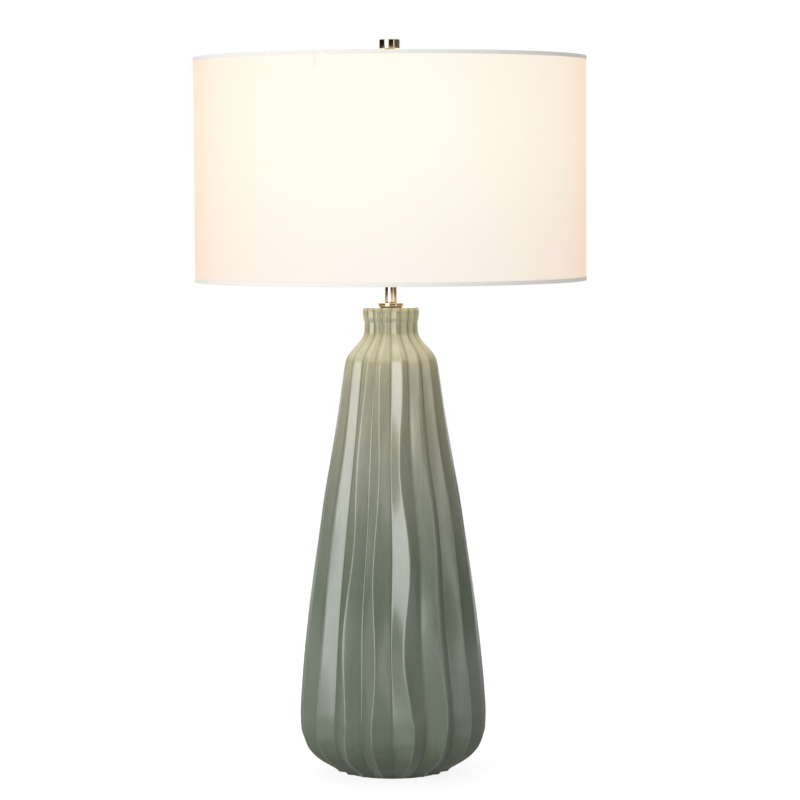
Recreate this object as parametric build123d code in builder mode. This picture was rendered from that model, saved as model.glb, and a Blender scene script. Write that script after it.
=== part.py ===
from build123d import *
import os
from math import cos, pi, radians, sin

# A table lamp with a tall fluted ceramic body, a harp and a drum shade.
# Millimetres. The origin is the middle of the felt pad's lower face, +Z is up,
# and -Y is the front. Azimuths are degrees from the front, growing to the right.

# ---------------------------------------------------------------- driving sizes

CUT = 2.0  # how far a cut starts and ends beyond what it cuts
EASE = 0.6  # rounding or chamfer of the small metal edges

# Ceramic body
FELT_THICKNESS = 2.0
FELT_RADIUS = 57.0
BODY_TOP = 547.0
RIDGE_COUNT = 17
RIDGE_PITCH = 360 / RIDGE_COUNT
VALLEY_RATIO = 0.90  # radius in the valleys over the radius on the ridges
WALL = 5.5
SWAY_LENGTH = 215.0  # height of one full left and right sway of a ridge
SWAY_FADE = 60.0  # the ridges straighten over this height at both ends
RECESS_RADIUS = 52.0
RECESS_DEPTH = 14.0
FLOOR_THICKNESS = 8.0
TOP_THICKNESS = 9.0
CAVITY_HEIGHTS = [40, 68, 135, 230, 325, 425, 478, 492, 505, 518, 528]
SECTION_SPACING = 25.0  # the loft has a section at least this often

# Height and ridge radius along the body, from the foot to the rim of the neck
BODY_OUTLINE = [
    (2, 66.5),
    (5, 69.5),
    (9, 76.0),
    (15, 86.0),
    (23, 96.0),
    (34, 104.5),
    (50, 109.5),
    (68, 110.0),
    (95, 108.5),
    (135, 105.5),
    (180, 101.0),
    (230, 94.3),
    (280, 86.6),
    (325, 80.0),
    (375, 71.4),
    (425, 63.2),
    (465, 57.2),
    (484, 53.9),
    (492, 50.2),
    (498, 45.4),
    (505, 38.9),
    (512, 33.9),
    (519, 31.6),
    (528, 31.4),
    (536, 32.9),
    (542, 33.3),
    (545, 32.7),
    (547, 31.3),
]

# Each ridge stands a little off its even place and sways to left and right, as
# drawn by hand: its lean, its sway and its phase, in degrees. The first ridge is
# the one just right of the front, and the list goes on to the right.
RIDGES = [
    (-0.3, 3.0, 16),
    (1.0, 2.5, -36),
    (1.5, 1.8, -40),
    (0.8, 1.6, 20),
    (0.0, 2.2, 110),
    (-1.0, 1.8, 200),
    (0.5, 2.6, 250),
    (1.0, 2.0, -60),
    (0.0, 2.4, 30),
    (-1.0, 1.6, 90),
    (0.5, 2.8, 150),
    (1.0, 2.0, 230),
    (0.0, 1.6, -80),
    (-0.5, 1.8, 60),
    (0.0, 1.5, 177),
    (-0.6, 1.9, -19),
    (-2.0, 1.4, 220),
]

# Cord entry through the foot, in the valley nearest the back
CORD_AZIMUTH = 8 * RIDGE_PITCH
CORD_HEIGHT = 9.0
CORD_HOLE_RADIUS = 4.6
CORD_SEAT_RADIUS = 6.4  # radius of the flat seat cut for the bush's outer flange
CORD_SEAT_DISTANCE = 68.5  # distance of that seat from the axis
CORD_SEAT_DEPTH = 30.0  # depth of that seat's cut, out past the glaze
BUSH_FLANGE_RADIUS = 6.0
BUSH_FLANGE = 2.0
BUSH_BARREL_RADIUS = 4.5
BUSH_BORE_RADIUS = 3.25
BUSH_INNER_DISTANCE = 51.6

# Central stack on the hollow rod
ROD_RADIUS = 4.95
ROD_BORE_RADIUS = 3.5
ROD_BOTTOM = 6.0
ROD_TOP = 604.0
ROD_HOLE_RADIUS = 5.2
BODY_HOLE_RADIUS = 6.0
NUT_BORE_RADIUS = 5.0
BOTTOM_WASHER_RADIUS = 24.0
BOTTOM_WASHER = 2.0
LOCK_WASHER_RADIUS = 9.0
LOCK_WASHER = 1.0
LOCK_TEETH = 12
LOCK_NOTCH_DEPTH = 1.5
LOCK_NOTCH_WIDTH = 1.6
NUT_HEIGHT = 4.0
NUT_APOTHEM = 7.0
GASKET = 1.0
GASKET_RADIUS = 13.0
CHECK_RING_RADIUS = 15.0
CHECK_RING = 4.5
CHECK_RING_ROUND = 0.8
NECK_TUBE_RADIUS = 7.1
NECK_TUBE_BORE_RADIUS = 5.3
NECK_TUBE = 39.5

# Harp and its saddle
SADDLE_THICKNESS = 2.0
SADDLE_WIDTH = 6.0
SADDLE_BOSS_RADIUS = 9.0
HARP_HEIGHT = 228.6
HARP_FOOT_X = 31.0
HARP_WIDE_X = 57.0
HARP_TOP_X = 24.0  # where the wire's level top begins
HARP_KNEE = 42.0  # height of the knee over the saddle
HARP_WIDE_FROM = 87.0  # the loop is widest from here
HARP_WIDE_TO = 127.0  # to here over the saddle
HARP_BOWS = [35, 60, 100, 14]  # radii of the four bows from foot to top
HARP_WIRE_RADIUS = 1.6
CHANNEL_INNER_RADIUS = 1.75
CHANNEL_OUTER_RADIUS = 2.7
CHANNEL_HEIGHT = 15.0
CHANNEL_OPENING = 8.0  # size of the cut that opens a channel outwards
SLEEVE_RADIUS = 3.7
SLEEVE_BORE_RADIUS = 2.78
SLEEVE_NECK_RADIUS = 1.68
SLEEVE_LENGTH = 15.0
SLEEVE_CAP = 1.5
BRACKET_RADIUS = 8.0
BRACKET_HEIGHT = 5.6
STUD_RADIUS = 3.175
STUD_LENGTH = 13.4
SEAT_GAP = 0.3  # free space between pieces that lift apart

# Lampholder
CAP_RADIUS = 17.4
CAP_HEIGHT = 20.0
CAP_NECK_RADIUS = 7.0
CAP_WALL = 0.8
CAP_NECK_HEIGHT = 4.0
CAP_NECK_WALL_HEIGHT = 4.9
CAP_RIM_HEIGHT = 13.0
CAP_BOW = (13.8, 6.6)  # radius and height of a point on the cup's outer curve
CAP_INNER_BOW = (13.1, 7.3)
SHELL_RADIUS = 16.5
SHELL_WALL = 0.8
SHELL_LIP_RADIUS = 17.1
SHELL_LIP_HEIGHT = 1.2
SHELL_LIP_SLOPE = 0.4
LINER_RADIUS = 15.6
LINER_WALL = 0.8
LINER_RISE = 1.0  # how far the liner stands up out of the shell
INSULATOR_RADIUS = 14.6
TERMINAL_X = 11.0
TERMINAL_HEAD_RADIUS = 2.9
TERMINAL_HEAD = 2.4
TERMINAL_SHANK_RADIUS = 1.5
TERMINAL_SHANK = 4.0
TERMINAL_SINK = 0.6  # how deep the heads sit in the insulator
TERMINAL_CLEARANCE = 0.3
TERMINAL_SLOT = 0.9
TERMINAL_SLOT_DEPTH = 0.8
SCREW_SHELL_RADIUS = 13.9
SCREW_SHELL_WALL = 0.55
SCREW_SHELL_HOLE_RADIUS = 10.5

# Right half of the spring under the bulb's tip, as x and height over the insulator
CONTACT_SPRING = [(1.8, 1.5), (4, 0), (8, 0), (8, 0.5), (4.3, 0.5), (2.1, 2)]
CONTACT_WIDTH = 5.0

# Turn knob of the switch, on a shaft that points to the front
SWITCH_SHAFT_RADIUS = 2.0
SWITCH_BORE_RADIUS = 2.06
SWITCH_HOLE_RADIUS = 3.2
SWITCH_HOLE_FROM = 11.6
SWITCH_HOLE_DEPTH = 8.0
SWITCH_BORE_FROM = 1.5
SWITCH_SHAFT_START = 2.0
SWITCH_SHAFT_END = 27.0
KNOB_START = 20.0
KNOB_COLLAR = 6.0
KNOB_COLLAR_RADIUS = 4.6
KNOB_PADDLE_DEPTH = 11.0
KNOB_PADDLE_HEIGHT = 17.0
KNOB_PADDLE_THICKNESS = 4.6
KNOB_PADDLE_OVERLAP = 2.0
KNOB_ROUND = 1.2

# Bulb
BULB_TIP_RADIUS = 4.2
BULB_TIP = 1.5
BULB_TIP_EDGE = 0.8
BULB_TIP_SLOPE = 1.0
BULB_INSULATOR_FOOT_RADIUS = 5.5
BULB_INSULATOR_RADIUS = 10.5
BULB_CAP_RADIUS = 13.05
BULB_CAP_WALL = 0.6
BULB_CAP_FOOT_RADIUS = 11.4
BULB_CAP_SLOPE = 1.6
BULB_CAP_FLOOR = 1.5
BULB_RADIUS = 30.0
BULB_SKIN = 1.4
BULB_LENGTH = 112.0
BULB_CAP_LENGTH = 22.0
BULB_WAIST_RADIUS = 29.0
COLLAR_OVERLAP = 2.0  # how far the collar reaches down over the cap
COLLAR_FIT = 0.1
COLLAR_WALL = 1.1
COLLAR_BOW = (21.2, 14.5)  # radius and height of a point on its outer curve
COLLAR_INNER_BOW = (19.9, 15.5)
GLOBE_SHOULDER_RADIUS = 29.7
BOARD = 1.6
BOARD_RADIUS = 25.4
BOARD_HOLE_RADIUS = 2.0

# Shade
SHADE_RADIUS = 228.6
SHADE_BOTTOM = 578.0
SHADE_TOP = 838.0
HEM_THICKNESS = 0.4
HEM_HEIGHT = 4.5
HEM_FLANGE_RADIUS = 224.4
PANEL_THICKNESS = 1.2
RING_WIRE_RADIUS = 1.6
RING_GAP = 0.1  # between the rings and the panel
RING_RIM_GAP = 0.2  # between the rings and the hem's folded edge
ARM_WIRE_RADIUS = 1.75
ARM_BEND = 6.0
ARM_BRAZE = 0.3  # how deep the arms sink into the top ring
ARM_START = 10.0  # distance from the axis where an arm leaves the washer
ARM_AZIMUTHS = [-21, 99, 219]
HUB_RADIUS = 14.0
HUB_THICKNESS = 2.5
HUB_HOLE_RADIUS = 3.6

# Finial
FINIAL_STEM_RADIUS = 6.0
FINIAL_HEAD_RADIUS = 12.75
FINIAL_HEAD = 11.0
FINIAL_TOP = 858.6
FINIAL_BORE_RADIUS = 3.3
FINIAL_BORE_DEPTH = 13.0

# --------------------------------------------------- heights up the central stack

FLOOR_BOTTOM = FELT_THICKNESS + RECESS_DEPTH
FLOOR_TOP = FLOOR_BOTTOM + FLOOR_THICKNESS
CAVITY_TOP = BODY_TOP - TOP_THICKNESS
WASHER_BOTTOM = FLOOR_BOTTOM - BOTTOM_WASHER
LOCK_WASHER_BOTTOM = WASHER_BOTTOM - LOCK_WASHER
CHECK_RING_BOTTOM = BODY_TOP + GASKET
NECK_TUBE_BOTTOM = CHECK_RING_BOTTOM + CHECK_RING
SADDLE_NUT_BOTTOM = NECK_TUBE_BOTTOM + NECK_TUBE
SADDLE_BOTTOM = SADDLE_NUT_BOTTOM + NUT_HEIGHT
SADDLE_TOP = SADDLE_BOTTOM + SADDLE_THICKNESS
HARP_TOP = SADDLE_BOTTOM + HARP_HEIGHT
BRACKET_BOTTOM = HARP_TOP - BRACKET_HEIGHT
HARP_WIRE_TOP = BRACKET_BOTTOM + BRACKET_HEIGHT / 3
HUB_BOTTOM = HARP_TOP + SEAT_GAP
HUB_TOP = HUB_BOTTOM + HUB_THICKNESS
FINIAL_BOTTOM = HUB_TOP + SEAT_GAP

SHELL_BOTTOM = SADDLE_TOP + 13.5
SHELL_TOP = SADDLE_TOP + 54.0
INSULATOR_BOTTOM = SADDLE_TOP + 16.0
INSULATOR_SHOULDER = SADDLE_TOP + 24.0
INSULATOR_TOP = SADDLE_TOP + 36.0
TERMINAL_Z = SADDLE_TOP + 20.0
SWITCH_Z = SADDLE_TOP + 30.0
BULB_BOTTOM = INSULATOR_TOP + 2.3
BULB_CAP_BOTTOM = BULB_BOTTOM + 4.5
COLLAR_BOTTOM = BULB_CAP_BOTTOM + BULB_CAP_LENGTH - COLLAR_OVERLAP
GLOBE_BOTTOM = BULB_BOTTOM + 58.0
BULB_TOP = BULB_BOTTOM + BULB_LENGTH
GLOBE_CENTRE = BULB_TOP - BULB_RADIUS

# ------------------------------------------------------------ shape of the body


def ridge_radius(height):
    """Radius on the ridges at a height, on a smooth curve through the outline."""
    index = 0
    while index < len(BODY_OUTLINE) - 2 and height > BODY_OUTLINE[index + 1][0]:
        index += 1
    (low, low_radius), (high, high_radius) = BODY_OUTLINE[index : index + 2]
    span = high - low
    t = (height - low) / span
    return (
        low_radius * (1 + 2 * t) * (1 - t) ** 2
        + high_radius * t**2 * (3 - 2 * t)
        + outline_slope(index) * span * t * (1 - t) ** 2
        - outline_slope(index + 1) * span * t**2 * (1 - t)
    )


def outline_slope(index):
    """Slope of the outline at one of its points, without overshoot beside a peak."""
    if index in (0, len(BODY_OUTLINE) - 1):
        index, other = (0, 1) if index == 0 else (index - 1, index)
        (low, low_radius), (high, high_radius) = BODY_OUTLINE[index], BODY_OUTLINE[other]
        return (high_radius - low_radius) / (high - low)
    before, here, after = BODY_OUTLINE[index - 1 : index + 2]
    slope_before = (here[1] - before[1]) / (here[0] - before[0])
    slope_after = (after[1] - here[1]) / (after[0] - here[0])
    if slope_before * slope_after <= 0:
        return 0
    return 2 * slope_before * slope_after / (slope_before + slope_after)


def ridge_azimuth(index, height):
    """Azimuth in degrees of one ridge at a height, with its lean and sway."""
    index %= RIDGE_COUNT
    return (index + 0.5) * RIDGE_PITCH + ridge_shift(index, height)


def ridge_shift(index, height):
    """Degrees by which a ridge stands off its even place at a height."""
    lean, sway, phase = RIDGES[index % RIDGE_COUNT]
    fade = min(1, (height - FELT_THICKNESS) / SWAY_FADE, (BODY_TOP - height) / SWAY_FADE)
    return fade * (lean + sway * sin(2 * pi * height / SWAY_LENGTH + radians(phase)))


def valley_azimuth(index, height):
    """Azimuth in degrees of the valley before a ridge, which sways half as much."""
    shift = (ridge_shift(index - 1, height) + ridge_shift(index, height)) / 4
    return index * RIDGE_PITCH + shift


def around(azimuth, radius):
    """Point at an azimuth from the front and a distance from the axis."""
    return (radius * sin(radians(azimuth)), -radius * cos(radians(azimuth)))


def body_section(height):
    """Star-shaped section of the body: valley and ridge in turn, all around."""
    radius = ridge_radius(height)
    points = []
    for index in range(RIDGE_COUNT):
        points.append(around(valley_azimuth(index, height), radius * VALLEY_RATIO))
        points.append(around(ridge_azimuth(index, height), radius))
    return points


def section_heights():
    """Heights of the loft's sections: the outline's own and more along the flank."""
    heights = []
    for (low, _), (high, _) in zip(BODY_OUTLINE, BODY_OUTLINE[1:]):
        steps = max(1, round((high - low) / SECTION_SPACING))
        heights += [low + (high - low) * step / steps for step in range(steps)]
    return heights + [BODY_OUTLINE[-1][0]]


# --------------------------------------------------------------- repeated forms


def tube(bottom, height, radius, bore):
    """Plain ring or tube standing upright on the lamp's axis."""
    with BuildPart() as ring:
        with BuildSketch(Plane.XY.offset(bottom)):
            Circle(radius)
            Circle(bore, mode=Mode.SUBTRACT)
        extrude(amount=height)
    return ring


def turned(outline):
    """Solid of revolution about the lamp's axis from (radius, height) points."""
    with BuildPart() as solid:
        with BuildSketch(Plane.XZ):
            with BuildLine():
                Polyline(*outline, close=True)
            make_face()
        revolve(axis=Axis.Z)
    return solid


def hex_nut(bottom):
    """Thin hexagon nut on the rod, with its outer corners eased."""
    with BuildPart() as nut:
        with BuildSketch(Plane.XY.offset(bottom)):
            hexagon = RegularPolygon(NUT_APOTHEM, 6, major_radius=False)
            fillet(hexagon.vertices(), EASE)
            Circle(NUT_BORE_RADIUS, mode=Mode.SUBTRACT)
        extrude(amount=NUT_HEIGHT)
    return nut


# ------------------------------------------------------------------ base pieces

with BuildPart() as felt_pad:
    with BuildSketch():
        Circle(FELT_RADIUS)
    extrude(amount=FELT_THICKNESS)

cord_plane = Plane(
    origin=(0, 0, CORD_HEIGHT),
    x_dir=(cos(radians(CORD_AZIMUTH)), sin(radians(CORD_AZIMUTH)), 0),
    z_dir=(sin(radians(CORD_AZIMUTH)), -cos(radians(CORD_AZIMUTH)), 0),
)

# The body is one smooth loft through star-shaped sections, hollowed by a turned
# cavity, with a recess under its foot for the nut and holes for the rod and cord.
with BuildPart() as ceramic_body:
    for height in section_heights():
        with BuildSketch(Plane.XY.offset(height)):
            Polygon(*body_section(height), align=None)
    loft()
    with BuildSketch(Plane.XY.offset(FELT_THICKNESS)):
        Circle(RECESS_RADIUS)
    extrude(amount=RECESS_DEPTH, mode=Mode.SUBTRACT)
    with BuildSketch(Plane.XZ):
        with BuildLine():
            cavity = [
                (ridge_radius(height) * VALLEY_RATIO - WALL, height)
                for height in [FLOOR_TOP, *CAVITY_HEIGHTS, CAVITY_TOP]
            ]
            Spline(*cavity)
            Polyline(cavity[-1], (0, CAVITY_TOP), (0, FLOOR_TOP), cavity[0])
        make_face()
    revolve(axis=Axis.Z, mode=Mode.SUBTRACT)
    with BuildSketch(Plane.XY):
        Circle(BODY_HOLE_RADIUS)
    extrude(amount=BODY_TOP, mode=Mode.SUBTRACT)
    with BuildSketch(cord_plane.offset(RECESS_RADIUS - CUT)):
        Circle(CORD_HOLE_RADIUS)
    extrude(amount=CORD_SEAT_DISTANCE - RECESS_RADIUS + 2 * CUT, mode=Mode.SUBTRACT)
    with BuildSketch(cord_plane.offset(CORD_SEAT_DISTANCE)):
        Circle(CORD_SEAT_RADIUS)
    extrude(amount=CORD_SEAT_DEPTH, mode=Mode.SUBTRACT)

with BuildPart() as cord_bush:
    with BuildSketch(cord_plane.offset(BUSH_INNER_DISTANCE - BUSH_FLANGE)):
        Circle(BUSH_FLANGE_RADIUS)
    extrude(amount=BUSH_FLANGE)
    with BuildSketch(cord_plane.offset(BUSH_INNER_DISTANCE)):
        Circle(BUSH_BARREL_RADIUS)
    extrude(amount=CORD_SEAT_DISTANCE - BUSH_INNER_DISTANCE)
    with BuildSketch(cord_plane.offset(CORD_SEAT_DISTANCE)):
        Circle(BUSH_FLANGE_RADIUS)
    extrude(amount=BUSH_FLANGE)
    with BuildSketch(cord_plane.offset(BUSH_INNER_DISTANCE - BUSH_FLANGE)):
        Circle(BUSH_BORE_RADIUS)
    extrude(amount=2 * BUSH_FLANGE + CORD_SEAT_DISTANCE - BUSH_INNER_DISTANCE, mode=Mode.SUBTRACT)

bottom_washer = tube(WASHER_BOTTOM, BOTTOM_WASHER, BOTTOM_WASHER_RADIUS, ROD_HOLE_RADIUS)

with BuildPart() as bottom_lock_washer:
    with BuildSketch(Plane.XY.offset(LOCK_WASHER_BOTTOM)):
        Circle(LOCK_WASHER_RADIUS)
        Circle(ROD_HOLE_RADIUS, mode=Mode.SUBTRACT)
        with PolarLocations(LOCK_WASHER_RADIUS, LOCK_TEETH):
            Rectangle(2 * LOCK_NOTCH_DEPTH, LOCK_NOTCH_WIDTH, mode=Mode.SUBTRACT)
    extrude(amount=LOCK_WASHER)

bottom_nut = hex_nut(LOCK_WASHER_BOTTOM - NUT_HEIGHT)
threaded_rod = tube(ROD_BOTTOM, ROD_TOP - ROD_BOTTOM, ROD_RADIUS, ROD_BORE_RADIUS)
neck_gasket = tube(BODY_TOP, GASKET, GASKET_RADIUS, ROD_HOLE_RADIUS)

with BuildPart() as check_ring:
    with BuildSketch(Plane.XY.offset(CHECK_RING_BOTTOM)):
        Circle(CHECK_RING_RADIUS)
        Circle(ROD_HOLE_RADIUS, mode=Mode.SUBTRACT)
    extrude(amount=CHECK_RING)
    outer_rims = check_ring.edges().filter_by(GeomType.CIRCLE).sort_by(SortBy.RADIUS)[-2:]
    fillet(outer_rims, CHECK_RING_ROUND)

neck_tube = tube(NECK_TUBE_BOTTOM, NECK_TUBE, NECK_TUBE_RADIUS, NECK_TUBE_BORE_RADIUS)
saddle_nut = hex_nut(SADDLE_NUT_BOTTOM)

# ------------------------------------------------------------------- lampholder

# A pressed cup that screws onto the rod and takes the shell in its rim
with BuildPart() as lampholder_cap:
    with BuildSketch(Plane.XZ):
        with BuildLine():
            neck = (CAP_NECK_RADIUS, SADDLE_TOP + CAP_NECK_HEIGHT)
            inner_neck = (CAP_NECK_RADIUS, SADDLE_TOP + CAP_NECK_WALL_HEIGHT)
            rim = (CAP_RADIUS, SADDLE_TOP + CAP_RIM_HEIGHT)
            inner_rim = (CAP_RADIUS - CAP_WALL, SADDLE_TOP + CAP_RIM_HEIGHT)
            bow = (CAP_BOW[0], SADDLE_TOP + CAP_BOW[1])
            inner_bow = (CAP_INNER_BOW[0], SADDLE_TOP + CAP_INNER_BOW[1])
            Polyline(
                neck,
                (CAP_NECK_RADIUS, SADDLE_TOP),
                (NUT_BORE_RADIUS, SADDLE_TOP),
                (NUT_BORE_RADIUS, SADDLE_TOP + CAP_NECK_WALL_HEIGHT),
                inner_neck,
            )
            ThreePointArc(inner_neck, inner_bow, inner_rim)
            Polyline(
                inner_rim,
                (CAP_RADIUS - CAP_WALL, SADDLE_TOP + CAP_HEIGHT),
                (CAP_RADIUS, SADDLE_TOP + CAP_HEIGHT),
                rim,
            )
            ThreePointArc(rim, bow, neck)
        make_face()
    revolve(axis=Axis.Z)

switch_plane = Plane(origin=(0, 0, SWITCH_Z), x_dir=(1, 0, 0), z_dir=(0, -1, 0))

# A thin shell with a rolled lip, holed for the switch's shaft
with BuildPart() as lampholder_shell:
    with BuildSketch(Plane.XZ):
        with BuildLine():
            Polyline(
                (SHELL_RADIUS - SHELL_WALL, SHELL_BOTTOM),
                (SHELL_RADIUS, SHELL_BOTTOM),
                (SHELL_RADIUS, SHELL_TOP - SHELL_LIP_HEIGHT - SHELL_LIP_SLOPE),
                (SHELL_LIP_RADIUS, SHELL_TOP - SHELL_LIP_HEIGHT),
                (SHELL_LIP_RADIUS, SHELL_TOP),
                (SHELL_RADIUS - SHELL_WALL, SHELL_TOP),
                close=True,
            )
        make_face()
    revolve(axis=Axis.Z)
    with BuildSketch(switch_plane.offset(SWITCH_HOLE_FROM)):
        Circle(SWITCH_HOLE_RADIUS)
    extrude(amount=SWITCH_HOLE_DEPTH, mode=Mode.SUBTRACT)

with BuildPart() as lampholder_liner:
    with BuildSketch(Plane.XY.offset(SHELL_BOTTOM + LINER_RISE)):
        Circle(LINER_RADIUS)
        Circle(LINER_RADIUS - LINER_WALL, mode=Mode.SUBTRACT)
    extrude(amount=SHELL_TOP - SHELL_BOTTOM)
    with BuildSketch(switch_plane.offset(SWITCH_HOLE_FROM)):
        Circle(SWITCH_HOLE_RADIUS)
    extrude(amount=SWITCH_HOLE_DEPTH, mode=Mode.SUBTRACT)

# The moulded insulator holds the switch, the terminals and the screw shell
with BuildPart() as lampholder_insulator:
    with BuildSketch(Plane.XY.offset(INSULATOR_BOTTOM)):
        Circle(TERMINAL_X)
    extrude(amount=INSULATOR_SHOULDER - INSULATOR_BOTTOM)
    with BuildSketch(Plane.XY.offset(INSULATOR_SHOULDER)):
        Circle(INSULATOR_RADIUS)
    extrude(amount=INSULATOR_TOP - INSULATOR_SHOULDER)
    with BuildSketch(switch_plane.offset(SWITCH_BORE_FROM)):
        Circle(SWITCH_BORE_RADIUS)
    extrude(amount=INSULATOR_RADIUS, mode=Mode.SUBTRACT)
    for side in (-1, 1):
        with BuildSketch(Plane(origin=(side * TERMINAL_X, 0, TERMINAL_Z), z_dir=(-side, 0, 0))):
            Circle(TERMINAL_SHANK_RADIUS)
        extrude(amount=TERMINAL_SHANK, mode=Mode.SUBTRACT)
        pocket = Plane(origin=(side * (TERMINAL_X + CUT), 0, TERMINAL_Z), z_dir=(-side, 0, 0))
        with BuildSketch(pocket):
            Circle(TERMINAL_HEAD_RADIUS + TERMINAL_CLEARANCE)
        extrude(amount=CUT + TERMINAL_SINK, mode=Mode.SUBTRACT)

with BuildPart() as terminal_screws:
    for side in (-1, 1):
        sunk_x = TERMINAL_X - TERMINAL_SINK
        seat = Plane(origin=(side * sunk_x, 0, TERMINAL_Z), z_dir=(side, 0, 0))
        with BuildSketch(seat):
            Circle(TERMINAL_HEAD_RADIUS)
        extrude(amount=TERMINAL_HEAD)
        with BuildSketch(seat):
            Circle(TERMINAL_SHANK_RADIUS)
        extrude(amount=-(TERMINAL_SHANK - TERMINAL_SINK))
        with BuildSketch(seat.offset(TERMINAL_HEAD)):
            Rectangle(2 * TERMINAL_HEAD_RADIUS, TERMINAL_SLOT)
        extrude(amount=-TERMINAL_SLOT_DEPTH, mode=Mode.SUBTRACT)

SCREW_SHELL_TOP = SHELL_TOP - 1.0
screw_shell = turned(
    [
        (SCREW_SHELL_HOLE_RADIUS, INSULATOR_TOP),
        (SCREW_SHELL_RADIUS, INSULATOR_TOP),
        (SCREW_SHELL_RADIUS, SCREW_SHELL_TOP),
        (SCREW_SHELL_RADIUS - SCREW_SHELL_WALL, SCREW_SHELL_TOP),
        (SCREW_SHELL_RADIUS - SCREW_SHELL_WALL, INSULATOR_TOP + SCREW_SHELL_WALL),
        (SCREW_SHELL_HOLE_RADIUS, INSULATOR_TOP + SCREW_SHELL_WALL),
    ]
)

# An arched spring strip that meets the tip of the bulb
with BuildPart() as centre_contact:
    with BuildSketch(Plane.XZ):
        with BuildLine():
            right_half = [(x, INSULATOR_TOP + rise) for x, rise in CONTACT_SPRING]
            left_half = [(-x, z) for x, z in reversed(right_half)]
            Polyline(*right_half, *left_half, close=True)
        make_face()
    extrude(amount=CONTACT_WIDTH / 2, both=True)

with BuildPart() as switch_shaft:
    with BuildSketch(switch_plane.offset(SWITCH_SHAFT_START)):
        Circle(SWITCH_SHAFT_RADIUS)
    extrude(amount=SWITCH_SHAFT_END - SWITCH_SHAFT_START)

# A round collar that runs out into a flat paddle for two fingers
with BuildPart() as switch_knob:
    with BuildSketch(switch_plane.offset(KNOB_START)):
        Circle(KNOB_COLLAR_RADIUS)
    extrude(amount=KNOB_COLLAR)
    with BuildSketch(switch_plane.offset(KNOB_START + KNOB_COLLAR - KNOB_PADDLE_OVERLAP)):
        SlotOverall(KNOB_PADDLE_HEIGHT, KNOB_PADDLE_THICKNESS, rotation=90)
    extrude(amount=KNOB_PADDLE_DEPTH)
    fillet(switch_knob.faces().sort_by(Axis.Y)[0].edges(), KNOB_ROUND)
    with BuildSketch(switch_plane.offset(KNOB_START)):
        Circle(SWITCH_SHAFT_RADIUS)
    extrude(amount=SWITCH_SHAFT_END - KNOB_START, mode=Mode.SUBTRACT)

# -------------------------------------------------------------------------- bulb

BULB_TIP_TOP = BULB_BOTTOM + BULB_TIP
BULB_CAP_TOP = BULB_CAP_BOTTOM + BULB_CAP_LENGTH

bulb_contact = turned(
    [
        (0, BULB_BOTTOM),
        (BULB_TIP_RADIUS - BULB_TIP_SLOPE, BULB_BOTTOM),
        (BULB_TIP_RADIUS, BULB_BOTTOM + BULB_TIP_EDGE),
        (BULB_TIP_RADIUS, BULB_TIP_TOP),
        (0, BULB_TIP_TOP),
    ]
)

bulb_insulator = turned(
    [
        (0, BULB_TIP_TOP),
        (BULB_INSULATOR_FOOT_RADIUS, BULB_TIP_TOP),
        (BULB_INSULATOR_RADIUS, BULB_CAP_BOTTOM),
        (BULB_INSULATOR_RADIUS, BULB_CAP_BOTTOM + BULB_CAP_FLOOR),
        (0, BULB_CAP_BOTTOM + BULB_CAP_FLOOR),
    ]
)

bulb_cap = turned(
    [
        (BULB_INSULATOR_RADIUS, BULB_CAP_BOTTOM),
        (BULB_CAP_FOOT_RADIUS, BULB_CAP_BOTTOM),
        (BULB_CAP_RADIUS, BULB_CAP_BOTTOM + BULB_CAP_SLOPE),
        (BULB_CAP_RADIUS, BULB_CAP_TOP),
        (BULB_CAP_RADIUS - BULB_CAP_WALL, BULB_CAP_TOP),
        (BULB_CAP_RADIUS - BULB_CAP_WALL, BULB_CAP_BOTTOM + BULB_CAP_SLOPE + 0.4),
        (BULB_INSULATOR_RADIUS, BULB_CAP_BOTTOM + BULB_CAP_FLOOR),
    ]
)

# The housing flares from the cap to the board, and the globe closes it
with BuildPart() as bulb_collar:
    with BuildSketch(Plane.XZ):
        with BuildLine():
            foot = (BULB_CAP_RADIUS + COLLAR_FIT, COLLAR_BOTTOM)
            outer_foot = (BULB_CAP_RADIUS + COLLAR_FIT + COLLAR_WALL, COLLAR_BOTTOM)
            brim = (BULB_WAIST_RADIUS, GLOBE_BOTTOM)
            inner_brim = (BULB_WAIST_RADIUS - BULB_SKIN, GLOBE_BOTTOM)
            bow = (COLLAR_BOW[0], COLLAR_BOTTOM + COLLAR_BOW[1])
            inner_bow = (COLLAR_INNER_BOW[0], COLLAR_BOTTOM + COLLAR_INNER_BOW[1])
            Line(foot, outer_foot)
            ThreePointArc(outer_foot, bow, brim)
            Line(brim, inner_brim)
            ThreePointArc(inner_brim, inner_bow, foot)
        make_face()
    revolve(axis=Axis.Z)

led_board = tube(GLOBE_BOTTOM - BOARD, BOARD, BOARD_RADIUS, BOARD_HOLE_RADIUS)

with BuildPart() as bulb_globe:
    with BuildSketch(Plane.XZ):
        with BuildLine():
            waist = (BULB_WAIST_RADIUS, GLOBE_BOTTOM)
            inner_waist = (BULB_WAIST_RADIUS - BULB_SKIN, GLOBE_BOTTOM)
            shoulder = (GLOBE_SHOULDER_RADIUS, (GLOBE_BOTTOM + GLOBE_CENTRE) / 2)
            Line(inner_waist, waist)
            ThreePointArc(waist, shoulder, (BULB_RADIUS, GLOBE_CENTRE))
            CenterArc((0, GLOBE_CENTRE), BULB_RADIUS, 0, 90)
            Line((0, BULB_TOP), (0, BULB_TOP - BULB_SKIN))
            CenterArc((0, GLOBE_CENTRE), BULB_RADIUS - BULB_SKIN, 0, 90)
            Line((BULB_RADIUS - BULB_SKIN, GLOBE_CENTRE), inner_waist)
        make_face()
    revolve(axis=Axis.Z)

# -------------------------------------------------------------------------- harp

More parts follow.
